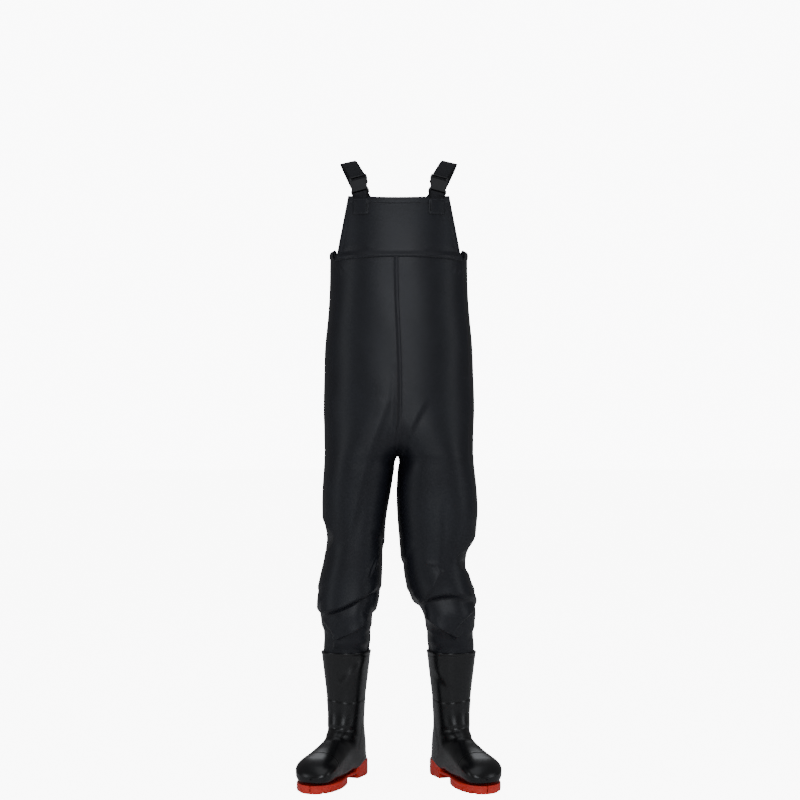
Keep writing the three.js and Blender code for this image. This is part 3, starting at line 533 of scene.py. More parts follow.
def suit_half(side):
    """The outside of one trouser half as a grid, from the chest seam down into the boot."""
    torso_rows = np.arange(chest_seam / mm + above_chest_seam, knee_top, -torso_row)
    heights = np.concatenate([torso_rows, np.arange(knee_top, leg_end, -leg_row)])
    outer, inner, front, back = smooth_rows(suit_sections, heights).T
    outer = outer + at_height(outer_side[side], heights)
    middle, reach = (outer + inner) / 2, (outer - inner) / 2
    centre, depth = (front + back) / 2, (back - front) / 2
    overlap = np.clip((middle - seam_gap) / reach, -1, inseam_closing)
    edge = np.arccos(-signed_power(overlap, squareness / 2))
    angle = edge[:, None] * (1 - 2 * np.linspace(0, 1, half_columns))
    x = middle[:, None] + reach[:, None] * signed_power(np.cos(angle), 2 / squareness)
    y = centre[:, None] - depth[:, None] * signed_power(np.sin(angle), 2 / squareness)
    z = np.repeat(heights[:, None], x.shape[1], axis=1)
    ankle = (ankle_x / mm, (ankle_y - suit_y) / mm)
    turned = np.arctan2(y - ankle[1], x - ankle[0]) - toe_out
    inset = leg_in_shaft + np.maximum(boot_rim / mm - z, 0) / shaft_taper
    share = (
        np.abs(np.cos(turned) / (shaft_half_width - inset)) ** shaft_squareness
        + np.abs(np.sin(turned) / (shaft_half_depth - inset)) ** shaft_squareness
    ) ** (-1 / shaft_squareness)
    tuck = smoothstep(z, shaft_top, fully_tucked)
    x = x * (1 - tuck) + (ankle[0] + share * np.cos(turned + toe_out)) * tuck
    y = y * (1 - tuck) + (ankle[1] + share * np.sin(turned + toe_out)) * tuck
    x = x * sides[side]
    x = x + at_height(fork_lean, heights)[:, None] * np.exp(-((x / fork_reach) ** 2)) * (1 - tuck)
    grid = np.stack([x * mm, suit_y + y * mm, z * mm], axis=-1)
    if side == "left":
        grid = grid[:, ::-1]
    normals = grid_normals(grid)
    facing_out = normals * [sides[side], 1, 1]
    free = smoothstep(z, *creases_end)
    lift = np.zeros(z.shape)
    for facing, creases in folds[side].items():
        lift += sum(fold(grid, facing_out, facing, *crease) for crease in creases)
    ripple = np.sin(grid[..., 2] * 31 + 3 * np.sin(grid[..., 0] * 19))
    ripple += np.sin(grid[..., 2] * 17 - grid[..., 1] * 40)
    lift += ripple_height * ripple
    return lifted(grid, normals, lift * free)


def thinned(grid, thickness):
    """The other face of a sheet, one thickness under this one."""
    return grid - grid_normals(grid) * thickness


half_surface = {}
for side in sides:
    grid = suit_half(side)
    half_surface[side] = grid
    inside = thinned(grid, cloth_thickness)
    half = grid_mesh(side + "_trouser_half", grid, inside, [coated_cloth, knit_lining])
    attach(half, "suit")
    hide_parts(side + "_half_panel")

# ---------------- seams of the trousers
# The centre seam and the inseams are lapped and welded, which leaves a low raised band outside,
# and a strip of sealing tape is ironed over each of them inside.

lap_width = 9 * mm
lap_height = 2.0 * mm
lap_slope = 2.8 * mm  # how far its welded edge runs out over the other half
lap_across = np.array([0.0, 0.2, 0.85, 1.0])  # shares of its width
lap_profile = np.array([-0.1, 0.7, 0.9, 1.0, -0.1])  # and of its height there and on the slope
inseam_lap_height = 1.6 * mm
half_tape = np.array([0.5, 1.0])
tape_half_width = 8 * mm
inseam_half_width = 6 * mm
seam_points = 24  # of a row, enough to reach over half a seam
middle_column = 100  # of a trouser half
tape_face = -cloth_thickness - 0.2 * mm
tape_back = tape_face - 0.4 * mm


def beside_edge(row, from_end, distances):
    """Points of a row of cloth at these distances from its first or last point."""
    near = (row[::-1] if from_end else row)[:seam_points]
    return at_run(distances, run_along(near), near)


def raised(grid, low, high, name, materials, wrap=False):
    """A strip that lies between two heights over a surface."""
    normals = grid_normals(grid)
    return grid_mesh(name, grid + normals * high, grid + normals * low, materials, wrap)


# Heat-sealing film: smooth and a little glossier than the knit it is ironed on.
sealing_tape, _, _ = new_material("polyurethane_seam_tape", {"Base Color": "#2E3036", "Roughness": 0.35})

heights = half_surface["left"][:, middle_column, 2] / mm
on_torso = heights > crotch + 2
for face, right_end, left_end in (("front", False, True), ("back", True, False)):
    lap, tape = [], []
    for right_row, left_row in zip(half_surface["right"][on_torso], half_surface["left"][on_torso]):
        beside = beside_edge(right_row, right_end, lap_across * lap_width)
        lap.append(np.vstack([beside[::-1], beside_edge(left_row, left_end, [lap_slope])]))
        right_part = beside_edge(right_row, right_end, half_tape * tape_half_width)[::-1]
        left_part = beside_edge(left_row, left_end, half_tape * tape_half_width)
        tape.append(np.vstack([right_part, right_row[-1 if right_end else 0], left_part]))
    lap, tape = np.array(lap), np.array(tape)
    profile = lap_profile[:, None] * lap_height
    if face == "front":
        lap, tape, profile = lap[:, ::-1], tape[:, ::-1], profile[::-1]
    band = raised(lap, -0.3 * mm, profile, face + "_centre_lap", [coated_cloth])
    sealing = raised(tape, tape_back, tape_face, face + "_centre_tape", [sealing_tape])
    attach(band, "suit")
    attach(sealing, "suit")
    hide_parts("centre_seam_tape")

on_leg = heights < crotch - 3
for side in sides:
    lap, tape = [], []
    for row in half_surface[side][on_leg]:
        first = beside_edge(row, False, half_tape * inseam_half_width)
        last = beside_edge(row, True, half_tape * inseam_half_width)
        seam = (row[0] + row[-1]) / 2
        tape.append(np.vstack([last[::-1], seam, first]))
        lap.append(np.vstack([last[::-1][1:], seam, first]))
    lap, tape = np.array(lap), np.array(tape)
    band = raised(lap, -0.2 * mm, inseam_lap_height, side + "_inseam_lap", [coated_cloth])
    sealing = raised(tape, tape_back, tape_face, side + "_inseam_sealing", [sealing_tape])
    for piece, slot in ((band, "coated_cloth"), (sealing, "seam_tape")):
        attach(piece, "suit")
    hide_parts(side + "_inseam_tape")

# ---------------- bib
# A single panel of the same cloth, tapered towards the top. It laps over the trousers at an arched
# seam, and its top and side edges are turned in and sewn flat.

bib_top = 1382
bib_seam = chest_seam / mm
bib_height = bib_top - bib_seam
bib_half_widths = (147, 119)  # at the seam and at the top, in millimetres
bib_columns, bib_rows = 141, 90
top_hem, side_hem = 14, 8
hem_rise, hem_groove, first_lift = 0.9, 0.5, 0.6
lap_rise, lap_step, tuck_in = 2.0, 0.9, 3.6  # where the bib lies over the top of the trousers


def bib_surface(x, z):
    """The front of the suit over a point, in millimetres across and up."""
    outer, inner, front, back = smooth_rows(suit_sections, z.ravel()).T.reshape(4, *z.shape)
    reach, centre, depth = (outer - inner) / 2, (front + back) / 2, (back - front) / 2
    y = centre - depth * (1 - np.abs(x / reach) ** squareness) ** (1 / squareness)
    return np.stack([x * mm, suit_y + y * mm, z * mm], axis=-1)


across, fall = np.meshgrid(np.linspace(1, -1, bib_columns), np.linspace(0, 1, bib_rows))
top_line = bib_top - 3 + 6 * across**2
seam_line = bib_seam + 1.5 - 6 * across**2
z = top_line + (seam_line - top_line) * fall
half_width = bib_half_widths[0] + (bib_half_widths[1] - bib_half_widths[0]) * (z - bib_seam) / bib_height
grid = bib_surface(across * half_width, z)
normals = grid_normals(grid)
from_side = (1 - np.abs(across)) * half_width
from_top = top_line - z
from_edge = np.minimum(from_side / side_hem, from_top / top_hem)
lift = first_lift + hem_rise * smoothstep(from_edge, 1.12, 0.98)
lift -= hem_groove * np.exp(-(((from_edge - 1.1) * 9) ** 2))
lift += lap_rise * smoothstep(z, bib_seam + 17, bib_seam + 8)
lift += lap_step * smoothstep(z, bib_seam + 9.4, bib_seam + 8.4)
lift -= tuck_in * smoothstep(z, seam_line + 2.8, seam_line)
bib_folds = [
    ([(-66, 1374), (-20, 1364), (30, 1366), (66, 1374)], (0.6, 16), (-0.8, 16), 10),
    ([(-140, 1252), (-100, 1262), (-60, 1256)], (0.8, 14), (-0.8, 14), 9),
    ([(62, 1256), (100, 1262), (140, 1252)], (0.8, 14), (-0.8, 14), 9),
]
lift += sum(fold(grid, normals, "front", *crease) for crease in bib_folds)
bib_face = lifted(grid, normals, lift)
bib = grid_mesh("bib", bib_face, thinned(bib_face, cloth_thickness), [coated_cloth, knit_lining])
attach(bib, "suit")
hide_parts("bib_panel", "bib_top_hem")

# The tape over the chest seam, inside both layers of cloth.
x, z = np.meshgrid(np.linspace(129, -129, 60), bib_seam + np.array([9, 3, -3, -9]))
sealing = raised(bib_surface(x, z), -4.4 * mm, -4 * mm, "chest_sealing", [sealing_tape])
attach(sealing, "suit")
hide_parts("chest_seam_tape")

# ---------------- stitching
# Bonded polyester thread in a lockstitch. It holds the hems and the lap of the bib.

stitch_pitch = 3.2 * mm
stitch_length = 2.4 * mm
thread_width = 0.55 * mm
thread_proud = 0.15 * mm

# Dyed thread: a shade lighter than the cloth, and slightly shiny.
thread, _, _ = new_material("bonded_polyester_thread", {"Base Color": "#43444C", "Roughness": 0.45})


def stitches(name, path, normals):
    """A row of stitches along a line of points on a surface."""
    run = run_along(path)
    count = int(run[-1] / stitch_pitch)
    middle = (np.arange(count) + 0.5) * run[-1] / count
    start, end = (at_run(middle + sign * stitch_length / 2, run, path) for sign in (-1, 1))
    centre, up = at_run(middle, run, path), at_run(middle, run, normals)
    aside = np.cross(up, end - start)
    aside *= (thread_width / 2 / np.linalg.norm(aside, axis=1))[:, None]
    over, dip = up * thread_proud, up * (thread_proud - thread_width * 0.3)
    top = centre + up * (thread_proud + thread_width * 0.5)
    ring = [start + dip, centre + aside + over, end + dip, centre - aside + over]
    points = np.stack([*ring, top, centre - up * thread_width], axis=1)
    faces = [(0, 1, 4), (1, 2, 4), (2, 3, 4), (3, 0, 4), (1, 0, 5), (2, 1, 5), (3, 2, 5), (0, 3, 5)]
    made = bpy.data.meshes.new(name)
    made.from_pydata(
        points.reshape(-1, 3).tolist(), [], [tuple(6 * i + k for k in f) for i in range(count) for f in faces]
    )
    made.materials.append(thread)
    made.shade_smooth()
    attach(placed(name, made), "suit")


bib_normals = grid_normals(bib_face)


def on_bib_face(columns, rows):
    """Points and normals of the bib's face along fractional columns and rows of its grid."""
    columns, rows = np.broadcast_arrays(np.asarray(columns, float), np.asarray(rows, float))
    c, r = columns.astype(int), rows.astype(int)
    s, t = (columns - c)[:, None], (rows - r)[:, None]
    return tuple(
        (g[r, c] * (1 - s) + g[r, c + 1] * s) * (1 - t) + (g[r + 1, c] * (1 - s) + g[r + 1, c + 1] * s) * t
        for g in (bib_face, bib_normals)
    )


last_row, bib_middle = bib_rows - 1, (bib_columns - 1) // 2
hem_margin, side_margin = 2.5, 2.2  # from a hem's inner edge to its stitches
every_column = np.linspace(4, 136, 120)
hem_row = last_row * (top_hem - hem_margin) / bib_height
stitches("top_hem_stitches", *on_bib_face(every_column, hem_row))
for k, up_from_seam in enumerate((2.6, 6.4)):
    stitches("chest_stitches_%d" % k, *on_bib_face(every_column, last_row * (1 - up_from_seam / bib_height)))
every_row = np.linspace(8, 86, 80)
share = (side_hem - side_margin) / np.linspace(bib_half_widths[1], bib_half_widths[0], 80)
for side, sign in sides.items():
    hem_column = bib_middle * (1 + sign * (1 - share))
    stitches(side + "_hem_stitches", *on_bib_face(hem_column, every_row))

# ---------------- side casings
# A tube of the suit's cloth at each side of the chest, gathered by the flat elastic that runs in it.
# Its front end is left open beside the bib, and shows the elastic.

casing_height, casing_depth = 20, 8
casing_wall_share = 0.315  # of the way in from its outside: 1.3 mm at the sides
casing_front, casing_back = 23, -88.5  # degrees round the suit, from its side
casing_inset, casing_gap = 1.5, 0.3  # in from the suit's side, and over the top of the trousers
casing_steps = 300
gather_pitch = 8.5
gather_depth, pleat_depth = 0.09, 0.05  # shares of the casing's half height
mouth_length, mouth_rise, mouth_reach = 9, 0.2, 0.45  # its open end, and how much wider it is
elastic_heights = np.array([-6.2, -3, 0, 3, 6.2])
elastic_half_thickness = 0.7 * mm
upwards = np.array([0, 0, 1.0])


def casing_line(steps, sign):
    """The middle of the casing, and the directions out of the suit along it."""
    outer, inner, front, back = smooth_rows(suit_sections, np.array([bib_seam]))[0]
    angle = np.radians(np.linspace(casing_front, casing_back, steps))
    x = outer * signed_power(np.cos(angle), 2 / squareness)
    y = (front + back) / 2 - (back - front) / 2 * signed_power(np.sin(angle), 2 / squareness)
    rim = np.stack([x, y], axis=-1)
    rim -= casing_inset * rim / np.linalg.norm(rim, axis=1, keepdims=True)
    run = run_along(rim)
    even = np.linspace(0, run[-1], steps)
    rim = at_run(even, run, rim)
    tangent = np.gradient(rim, axis=0)
    out = np.stack([-tangent[:, 1], tangent[:, 0]], axis=-1)
    out /= np.linalg.norm(out, axis=1, keepdims=True)
    out *= np.sign((out * rim).sum(1))[:, None]
    height = chest_seam + (casing_gap + casing_height / 2) * mm
    line = np.stack([sign * rim[:, 0] * mm, suit_y + rim[:, 1] * mm, np.full(steps, height)], axis=-1)
    outwards = np.stack([sign * out[:, 0], out[:, 1], np.zeros(steps)], axis=-1)
    return line, outwards, even


# Woven elastic: ribbed across and dull.
elastic_web, _, _ = new_material("woven_rubber_elastic", {"Base Color": "#2B2B2F", "Roughness": 0.85})

for side, sign in sides.items():
    line, outwards, run = casing_line(casing_steps, sign)
    turn = np.linspace(0, 2 * math.pi, 33)[:-1]
    mouth = np.exp(-((run / mouth_length) ** 2))[:, None]
    gather = 0.5 + 0.5 * np.sin(run * 2 * math.pi / gather_pitch + 1.3 * np.sin(run / 13))[:, None]
    pleat = 1 - gather_depth * (1 - mouth) * gather
    pleat = pleat * (1 + pleat_depth * (1 - mouth) * np.sin(3 * turn + run[:, None] / 4))
    reach = casing_depth / 2 * (1.0 + mouth_reach * mouth) * pleat * np.cos(turn)
    rise = casing_height / 2 * (1.0 + mouth_rise * mouth) * pleat * np.sin(turn)
    from_line = (outwards[:, None] * reach[..., None] + upwards * rise[..., None]) * mm
    tube = line[:, None] + from_line
    normals = grid_normals(np.concatenate([tube, tube[:, :1]], axis=1))[:, :-1]
    if (normals[5, 0] @ outwards[5]) < 0:
        tube, from_line = tube[:, ::-1], from_line[:, ::-1]
    inside = tube - from_line * casing_wall_share
    casing = grid_mesh(side + "_casing", tube, inside, [coated_cloth], wrap=True)
    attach(casing, "suit")
    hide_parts(side + "_side_casing")
    band = line[:, None] + upwards * elastic_heights[:, None] * mm
    band = band + outwards[:, None] * (0.25 * mm * np.sin(run / 2))[:, None, None]
    if grid_normals(band)[5, 2] @ outwards[5] < 0:
        band = band[:, ::-1]
    elastic = raised(band, -elastic_half_thickness, elastic_half_thickness, side + "_elastic", [elastic_web])
    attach(elastic, "suit")
    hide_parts(side + "_side_elastic")

# ---------------- buckles
# Side-release buckles moulded in acetal. The socket hangs on the tab, and the clip is held in it by two
# spring arms, whose heads show in the socket's side windows.

# Moulded acetal: black, dense and waxy, with softly rounded edges and an even satin shine.
acetal, tree, surface = new_material(
    "moulded_acetal", {"Base Color": "#18181A", "Roughness": 0.38, "IOR": 1.48}
)
mould_texture = 0.8 * mm  # spark-eroded mould, really 0.1 mm
spark = pattern(tree, "ShaderNodeTexNoise", {"Scale": 1 / mould_texture, "Detail": 1.0})
bumped(tree, surface, spark.outputs["Fac"], 0.08, 0.2 * mm)

edge_rounding = 0.6 * mm
edge_angle = math.radians(35)
for side in sides:
    for part in ("buckle_socket", "buckle_clip", "outer_clip_arm", "inner_clip_arm"):
        node = frame["nodes"][side + "_" + part]
        node.data.materials.clear()
        node.data.materials.append(acetal)
        node.data.shade_smooth()
        bevel = node.modifiers.new("rounded_edges", "BEVEL")
        bevel.width = edge_rounding
        bevel.segments = 3
        bevel.limit_method = "ANGLE"
        bevel.angle_limit = edge_angle
        bevel.harden_normals = True

# ---------------- webbing
# Polyester webbing with a ribbed weave and a tight selvedge. The tab loops round the socket's bar and
# its two ends lie under the patch; the strap goes through the clip and over the shoulder to the back.

web_width = 35
web_thickness = 1.4
edge_thinning = 0.35
weave_rib = 2.2 * mm  # really 1.3 mm
yarn_width = 1.5 * weave_rib

# Woven polyester: dull charcoal, with ribs across and a darker, firmer edge.
webbing, tree, surface = new_material(
    "ribbed_polyester_webbing", {"Roughness": 0.8, "Specular IOR Level": 0.3}
)
lie = add_node(tree, "ShaderNodeUVMap", {"uv_map": "sheet"}).outputs["UV"]
ribs = add_node(
    tree,
    "ShaderNodeTexWave",
    {
        "Scale": 1 / (weave_rib * wave_bands),
        "Distortion": 0.6,
        "Detail": 1.0,
        "Detail Scale": 3.0,
        "bands_direction": "Y",
    },
    {"Vector": lie},
)
yarns = add_node(
    tree,
    "ShaderNodeTexWave",
    {"Scale": 1 / (yarn_width * wave_bands), "Distortion": 0.3, "bands_direction": "X"},
    {"Vector": lie},
)
weave = add_node(
    tree, "ShaderNodeMath", {"operation": "MULTIPLY"}, {0: ribs.outputs["Fac"], 1: yarns.outputs["Fac"]}
).outputs["Value"]
across_web = add_node(tree, "ShaderNodeSeparateXYZ", links={"Vector": lie})
from_edge = add_node(
    tree, "ShaderNodeMath", {"operation": "PINGPONG", 1: web_width / 2 * mm}, {0: across_web.outputs["X"]}
)
selvedge = add_node(
    tree,
    "ShaderNodeMapRange",
    {"From Min": 1.6 * mm, "From Max": 3.0 * mm, "To Min": 0.45, "To Max": 1.0},
    {"Value": from_edge.outputs["Value"]},
)
dyed = add_node(
    tree,
    "ShaderNodeMix",
    {"data_type": "RGBA", "blend_type": "MULTIPLY", "Factor": 1.0},
    {6: two_tones(tree, weave, "#17171A", "#2C2C31"), 7: selvedge.outputs["Result"]},
)
tree.links.new(dyed.outputs[2], surface.inputs["Base Color"])
bumped(tree, surface, weave, 0.6, 0.5 * mm)

joints = {j["name"]: j for j in frame["joints"]}
facing = -np.array(joints["left_outer_arm_press"]["axis"])
buckle_across = -np.array(joints["left_strap_swing"]["axis"])
way_out = np.cross(facing, buckle_across)
arm_root = 9.4  # height of the arms' roots over the middle of the buckle
roots = [np.array(joints["left_%s_arm_press" % arm]["pos_m"]) for arm in ("outer", "inner")]
buckle_middle = (roots[0] + roots[1]) / 2 - way_out * arm_root * mm
pivot = np.array(joints["left_strap_swing"]["pos_m"])


def in_buckle(height, depth):
    """A point on the buckle's middle line, in millimetres up the strap and out of the chest."""
    return buckle_middle + (way_out * height + facing * depth) * mm


def in_suit(x, y, z):
    return np.array([x * mm, suit_y + y * mm, z * mm])


def web_grid(stops, steps, width=web_width):
    """A band of webbing as a grid: each stop is its middle and the way across it."""
    middles = through([middle for middle, _ in stops], steps)
    ways = np.array([np.array(way, float) / np.linalg.norm(way) for _, way in stops])
    ways = at_run(np.linspace(0, len(stops) - 1, steps), np.arange(len(stops)), ways)
    ways /= np.linalg.norm(ways, axis=1, keepdims=True)
    edge = np.linspace(-0.5, 0.5, 13) * width * mm
    return middles[:, None] + ways[:, None] * edge[None, :, None]


def mirrored(grid):
    """The same band on the other side of the suit."""
    return (grid * np.array([-1, 1, 1]))[:, ::-1]


def web_piece(name, grid, material):
    """A band of webbing with its thinner edges."""
    half_thickness = web_thickness / 2 * (1 - edge_thinning * np.abs(np.linspace(-1, 1, grid.shape[1])) ** 8)
    half = grid_normals(grid) * (half_thickness * mm)[None, :, None]
    return grid_mesh(name, grid + half, grid - half, [material])


lean_across = (0.87, 0.06, -0.49)
strap_stops = [
    (in_buckle(13.3, 4.2), buckle_across),
    (in_buckle(15.2, 3.35), buckle_across),
    (in_buckle(18.3, 0.9), buckle_across),
    (in_buckle(23.4, -2.6), buckle_across),
    (in_suit(102, -66.5, 1440), lean_across),
    (in_suit(114, -46, 1461), (0.9, 0.08, -0.4)),
    (in_suit(122, -20, 1471), (0.96, 0.12, -0.22)),
    (in_suit(123, 8, 1470), (0.97, 0.18, -0.15)),
    (in_suit(114, 46, 1450), (0.93, 0.32, -0.15)),
    (in_suit(93, 84, 1411), (0.9, 0.34, -0.25)),
    (in_suit(62, 107, 1364), (0.9, 0.3, -0.3)),
    (pivot, buckle_across),
]
patch_middle, patch_side, patch_top = 89, 37, bib_top - 6
patch_bottom = patch_top - patch_side


def on_bib(x, z):
    return bib_surface(np.array([[x]], float), np.array([[z]], float))[0, 0]


bib_across = on_bib(patch_middle + 10, patch_top) - on_bib(patch_middle - 10, patch_top)
bib_across /= np.linalg.norm(bib_across)
bib_up = on_bib(patch_middle, patch_top) - on_bib(patch_middle, patch_bottom)
bib_out = np.cross(bib_across, bib_up)
bib_out /= np.linalg.norm(bib_out)
socket_bottom, tab_bar, bar_half_depth = -25, 2.5, 1.9
near_leg, far_leg, round_bar = 1.0, 2.7, bar_half_depth + 1.0


def tab_leg(z, proud):
    return (on_bib(patch_middle, z) + bib_out * proud * mm, bib_across)


tab_stops = [
    tab_leg(patch_bottom + 6, near_leg),
    tab_leg(patch_top - 12, near_leg),
    tab_leg(patch_top + 2, near_leg),
    (in_buckle(socket_bottom - 1.5, -round_bar), buckle_across),
    (in_buckle(socket_bottom + tab_bar, -round_bar), buckle_across),
    (in_buckle(socket_bottom + tab_bar + 2, 0), buckle_across),
    (in_buckle(socket_bottom + tab_bar, round_bar), buckle_across),
    (in_buckle(socket_bottom - 1.5, round_bar), buckle_across),
    tab_leg(patch_top + 2, far_leg),
    tab_leg(patch_top - 12, far_leg),
    tab_leg(patch_bottom + 6, far_leg),
]
strap_grid = web_grid(strap_stops, 240)
tab_grid = web_grid(tab_stops, 150)
seam_end = 45 * mm  # a length up the strap from the back seam
up_strap = strap_stops[-2][0] - pivot
up_strap *= seam_end / np.linalg.norm(up_strap)
for side, sign in sides.items():
    strap = web_piece(side + "_shoulder_strap", strap_grid if sign > 0 else mirrored(strap_grid), webbing)
    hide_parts(side + "_strap")
    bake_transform(strap)
    tab = web_piece(side + "_tab", tab_grid if sign > 0 else mirrored(tab_grid), webbing)
    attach(tab, "suit")
    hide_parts(side + "_strap_tab")

# ---------------- strap patches
# A square of the suit's cloth over the tab's ends on each side of the bib, sewn down all round.

patch_rounding = 0.05
patch_thickness = 1.1 * mm
patch_inset = 3  # columns of a patch's grid from its edge to its stitches


def rounded_square(count):
    """Even places over a square whose corners are a little rounded, from -1 to 1 each way."""
    a, b = np.meshgrid(np.linspace(1, -1, count), np.linspace(1, -1, count))
    return a * (1 - patch_rounding * b**10), b * (1 - patch_rounding * a**10)


def border(grid, inset):
    """The points that run round a grid, this many from its edge."""
    keep, far = slice(inset, -inset), -inset - 1
    return np.vstack([grid[inset, keep], grid[keep, far], grid[far, keep][::-1], grid[keep, inset][::-1]])


for side, sign in sides.items():
    a, b = rounded_square(41)
    x = sign * patch_middle + a * patch_side / 2
    z = (patch_top + patch_bottom) / 2 + b * patch_side / 2
    grid = bib_surface(x, z)
    normals = grid_normals(grid)
    from_side = (1 - np.abs(a)) * patch_side / 2
    from_foot = (1 + b) * patch_side / 2
    lift = 2.5 + 1.9 * smoothstep(np.minimum(from_side, from_foot), 0.2, 3.5)
    stitch_line = np.minimum(np.minimum(from_side, from_foot), (1 - b) * patch_side / 2)
    lift -= 0.5 * np.exp(-(((stitch_line - 3.2) / 0.8) ** 2))
    face = lifted(grid, normals, lift)
    patch = grid_mesh(side + "_tab_patch", face, thinned(face, patch_thickness), [coated_cloth])
    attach(patch, "suit")
    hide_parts(side + "_strap_patch")
    stitches(side + "_patch_stitches", border(face, patch_inset), border(grid_normals(face), patch_inset))

# ---------------- back: patch, elastic and anchor
# The straps are sewn behind a V-shaped patch. An elastic web runs from it to a square of cloth that is
# sewn to the back of the trousers.

slope, setback = buckle_across[2] / buckle_across[0], buckle_across[1] / buckle_across[0]
patch_height, patch_half_width, patch_columns = 42, 46, 49
patch_depth = 1.3  # from the middle of the webbing to the middle of the patch
yoke_thickness = 1.2 * mm
free_gap = 1.0
backwards = np.array([0, 1.0, 0])

drops = np.linspace(0.2, patch_height, 36)[:, None]
spreads = np.interp(drops, [0.2, 12, 26, patch_height], [1, 0.9, 0.62, 0.46])
x = patch_half_width * spreads * np.linspace(-1, 1, patch_columns)
aside = np.abs(x) - pivot[0] / mm
depth = aside * setback - patch_depth - 0.6 * np.exp(-((x / 10) ** 2)) + 0.5
face = np.stack([x * mm, pivot[1] + depth * mm, pivot[2] + (aside * slope - drops) * mm], axis=-1)
patch = grid_mesh("yoke_patch", face, face - yoke_thickness * backwards, [coated_cloth])
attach(patch, "suit")
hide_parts("back_patch")
rim = border(face, 2)
stitches("yoke_stitches", rim, np.tile(backwards, (len(rim), 1)))


def back_of_suit(z):
    return smooth_rows(suit_sections, np.array([z], float))[0, 3]


patch_floor = pivot[2] / mm - patch_height - pivot[0] / mm * slope
web_in_patch = (pivot[1] - suit_y) / mm - patch_depth - pivot[0] / mm * setback
web_in_patch -= web_thickness + free_gap
casing_out = 2.5
back_stops = [
    (web_in_patch, patch_floor + 26),
    (web_in_patch, patch_floor + 8),
    (web_in_patch, patch_floor - 6),
    (back_of_suit(bib_seam) + casing_out + 1.9, bib_seam + 22),
    (back_of_suit(bib_seam) + casing_out + 2.4, bib_seam + 6),
    (back_of_suit(bib_seam - 14) + 1.8, bib_seam - 14),
    (back_of_suit(bib_seam - 52) + 1.6, bib_seam - 52),
]
back_web_grid = web_grid([(in_suit(0, *stop), (-1, 0, 0)) for stop in back_stops], 90, width=38)
back_elastic = web_piece("back_elastic", back_web_grid, elastic_web)
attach(back_elastic, "suit")
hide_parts("back_web")

anchor_half, anchor_drop = 24, 36
a, b = rounded_square(33)
z = bib_seam - anchor_drop + anchor_half * b
slant_ends = [bib_seam - 62, bib_seam - 10]
y = np.interp(z, slant_ends, [back_of_suit(end) for end in slant_ends])
y = y + 1.4 + 1.8 * smoothstep(1 - np.abs(a), 0.0, 0.22)
grid = np.stack([-anchor_half * a * mm, suit_y + y * mm, z * mm], axis=-1)
anchor = grid_mesh("anchor_patch", grid, grid - patch_thickness * backwards, [coated_cloth])
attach(anchor, "suit")
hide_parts("back_anchor_patch")
rim = np.vstack([border(grid, 2), grid[2, 2:4]])
stitches("anchor_stitches", rim, np.tile(backwards, (len(rim), 1)))

# ---------------- boots
# Calf-high boots, injection moulded in black PVC. A thin bead runs round the rim, and the mould leaves
# a step round the shaft, a counter behind the ankle and a toe cap. The legs of the suit end in them.

boot_wall = 3

# Forward, height, tilt in degrees, half width, reach to the front or top, reach to the back or sole,
# and sideways, in millimetres from the ankle.
boot_rings = [
    (0, 303, 0, shaft_half_width, shaft_half_depth, shaft_half_depth, 0),
    (0, 258, 0, 51, 57, 58, 0),
    (0, 208, 0, 45, 52, 53, 0),
    (1, 160, 0, 40, 50, 50, 0),
    (3, 126, 8, 38, 53, 55, 0),
    (2, 96, 24, 38, 62, 69, 0),
    (13, 67, 35, 38.5, 74, 88, 0),
    (56, 61, 55, 39, 50, 47, 0),
    (102, 54, 74, 44, 36, 33, 1),
    (140, 49, 90, 49, 29, 28, 2),
    (170, 45, 90, 49, 26, 24, 0),
    (192, 41, 90, 43, 20, 20, -4),
    (206, 37, 90, 32, 13, 14, -7),
    (213, 34, 90, 18, 7, 9, -9),
    (215.5, 33, 90, 2, 1, 1, -9),
]

# Injection-moulded PVC: black, smooth and glossy, with a faint unevenness that breaks its highlights.
boot_pvc, tree, surface = new_material(
    "moulded_pvc_gloss", {"Base Color": "#08080B", "Roughness": 0.29, "IOR": 1.5}
)
uneven_size = 30 * mm  # sink marks of a thick moulding
uneven = pattern(tree, "ShaderNodeTexNoise", {"Scale": 1 / uneven_size, "Detail": 1.0})
bumped(tree, surface, uneven.outputs["Fac"], 0.25, 1 * mm)


def boot_ring_points(rings, steps, columns, grow):
    """The boot's surface at an even distance from its outside, as rows from the rim to the toe."""
    forward, height, tilt, half_width, front, back, sideways = through(rings, steps).T[:, :, None]
    turn = np.linspace(0, 2 * math.pi, columns, endpoint=False)[None]
    angle = np.radians(tilt)
    ahead = np.sin(turn) > 0
    on_sole = smoothstep(tilt, 20, 70) * smoothstep(-np.sin(turn), 0.0, 0.7)
    toe_round = 1 - 0.75 * smoothstep(forward, 120, 190)
    half_width = half_width * (1 + 0.1 * on_sole * smoothstep(tilt, 88, 60))
    across = signed_power(np.cos(turn), 2 / (shaft_squareness + 2.7 * on_sole * toe_round))
    x = np.maximum(half_width + grow, 0.3) * across
    reach = np.maximum(np.where(ahead, front, back) + grow, 0.3)
    flatness = np.where(ahead, shaft_squareness, shaft_squareness + tilt / 60)
    rise = reach * signed_power(np.sin(turn), 2 / flatness)
    return np.stack([sideways + x, -(forward + rise * np.cos(angle)), height + rise * np.sin(angle)], axis=-1)


def on_foot(points, sign):
    """Points in the boot's own frame, turned out and moved to the left or right foot."""
    c, s = math.cos(toe_out), math.sin(toe_out)
    x = ankle_x + (points[..., 0] * c - points[..., 1] * s) * mm
    y = ankle_y + (points[..., 0] * s + points[..., 1] * c) * mm
    turned = np.stack([sign * x, y, points[..., 2] * mm], axis=-1)
    return turned if sign > 0 else turned[:, ::-1]


def ridge(value, middle, width):
    return np.exp(-(((value - middle) / width) ** 2))


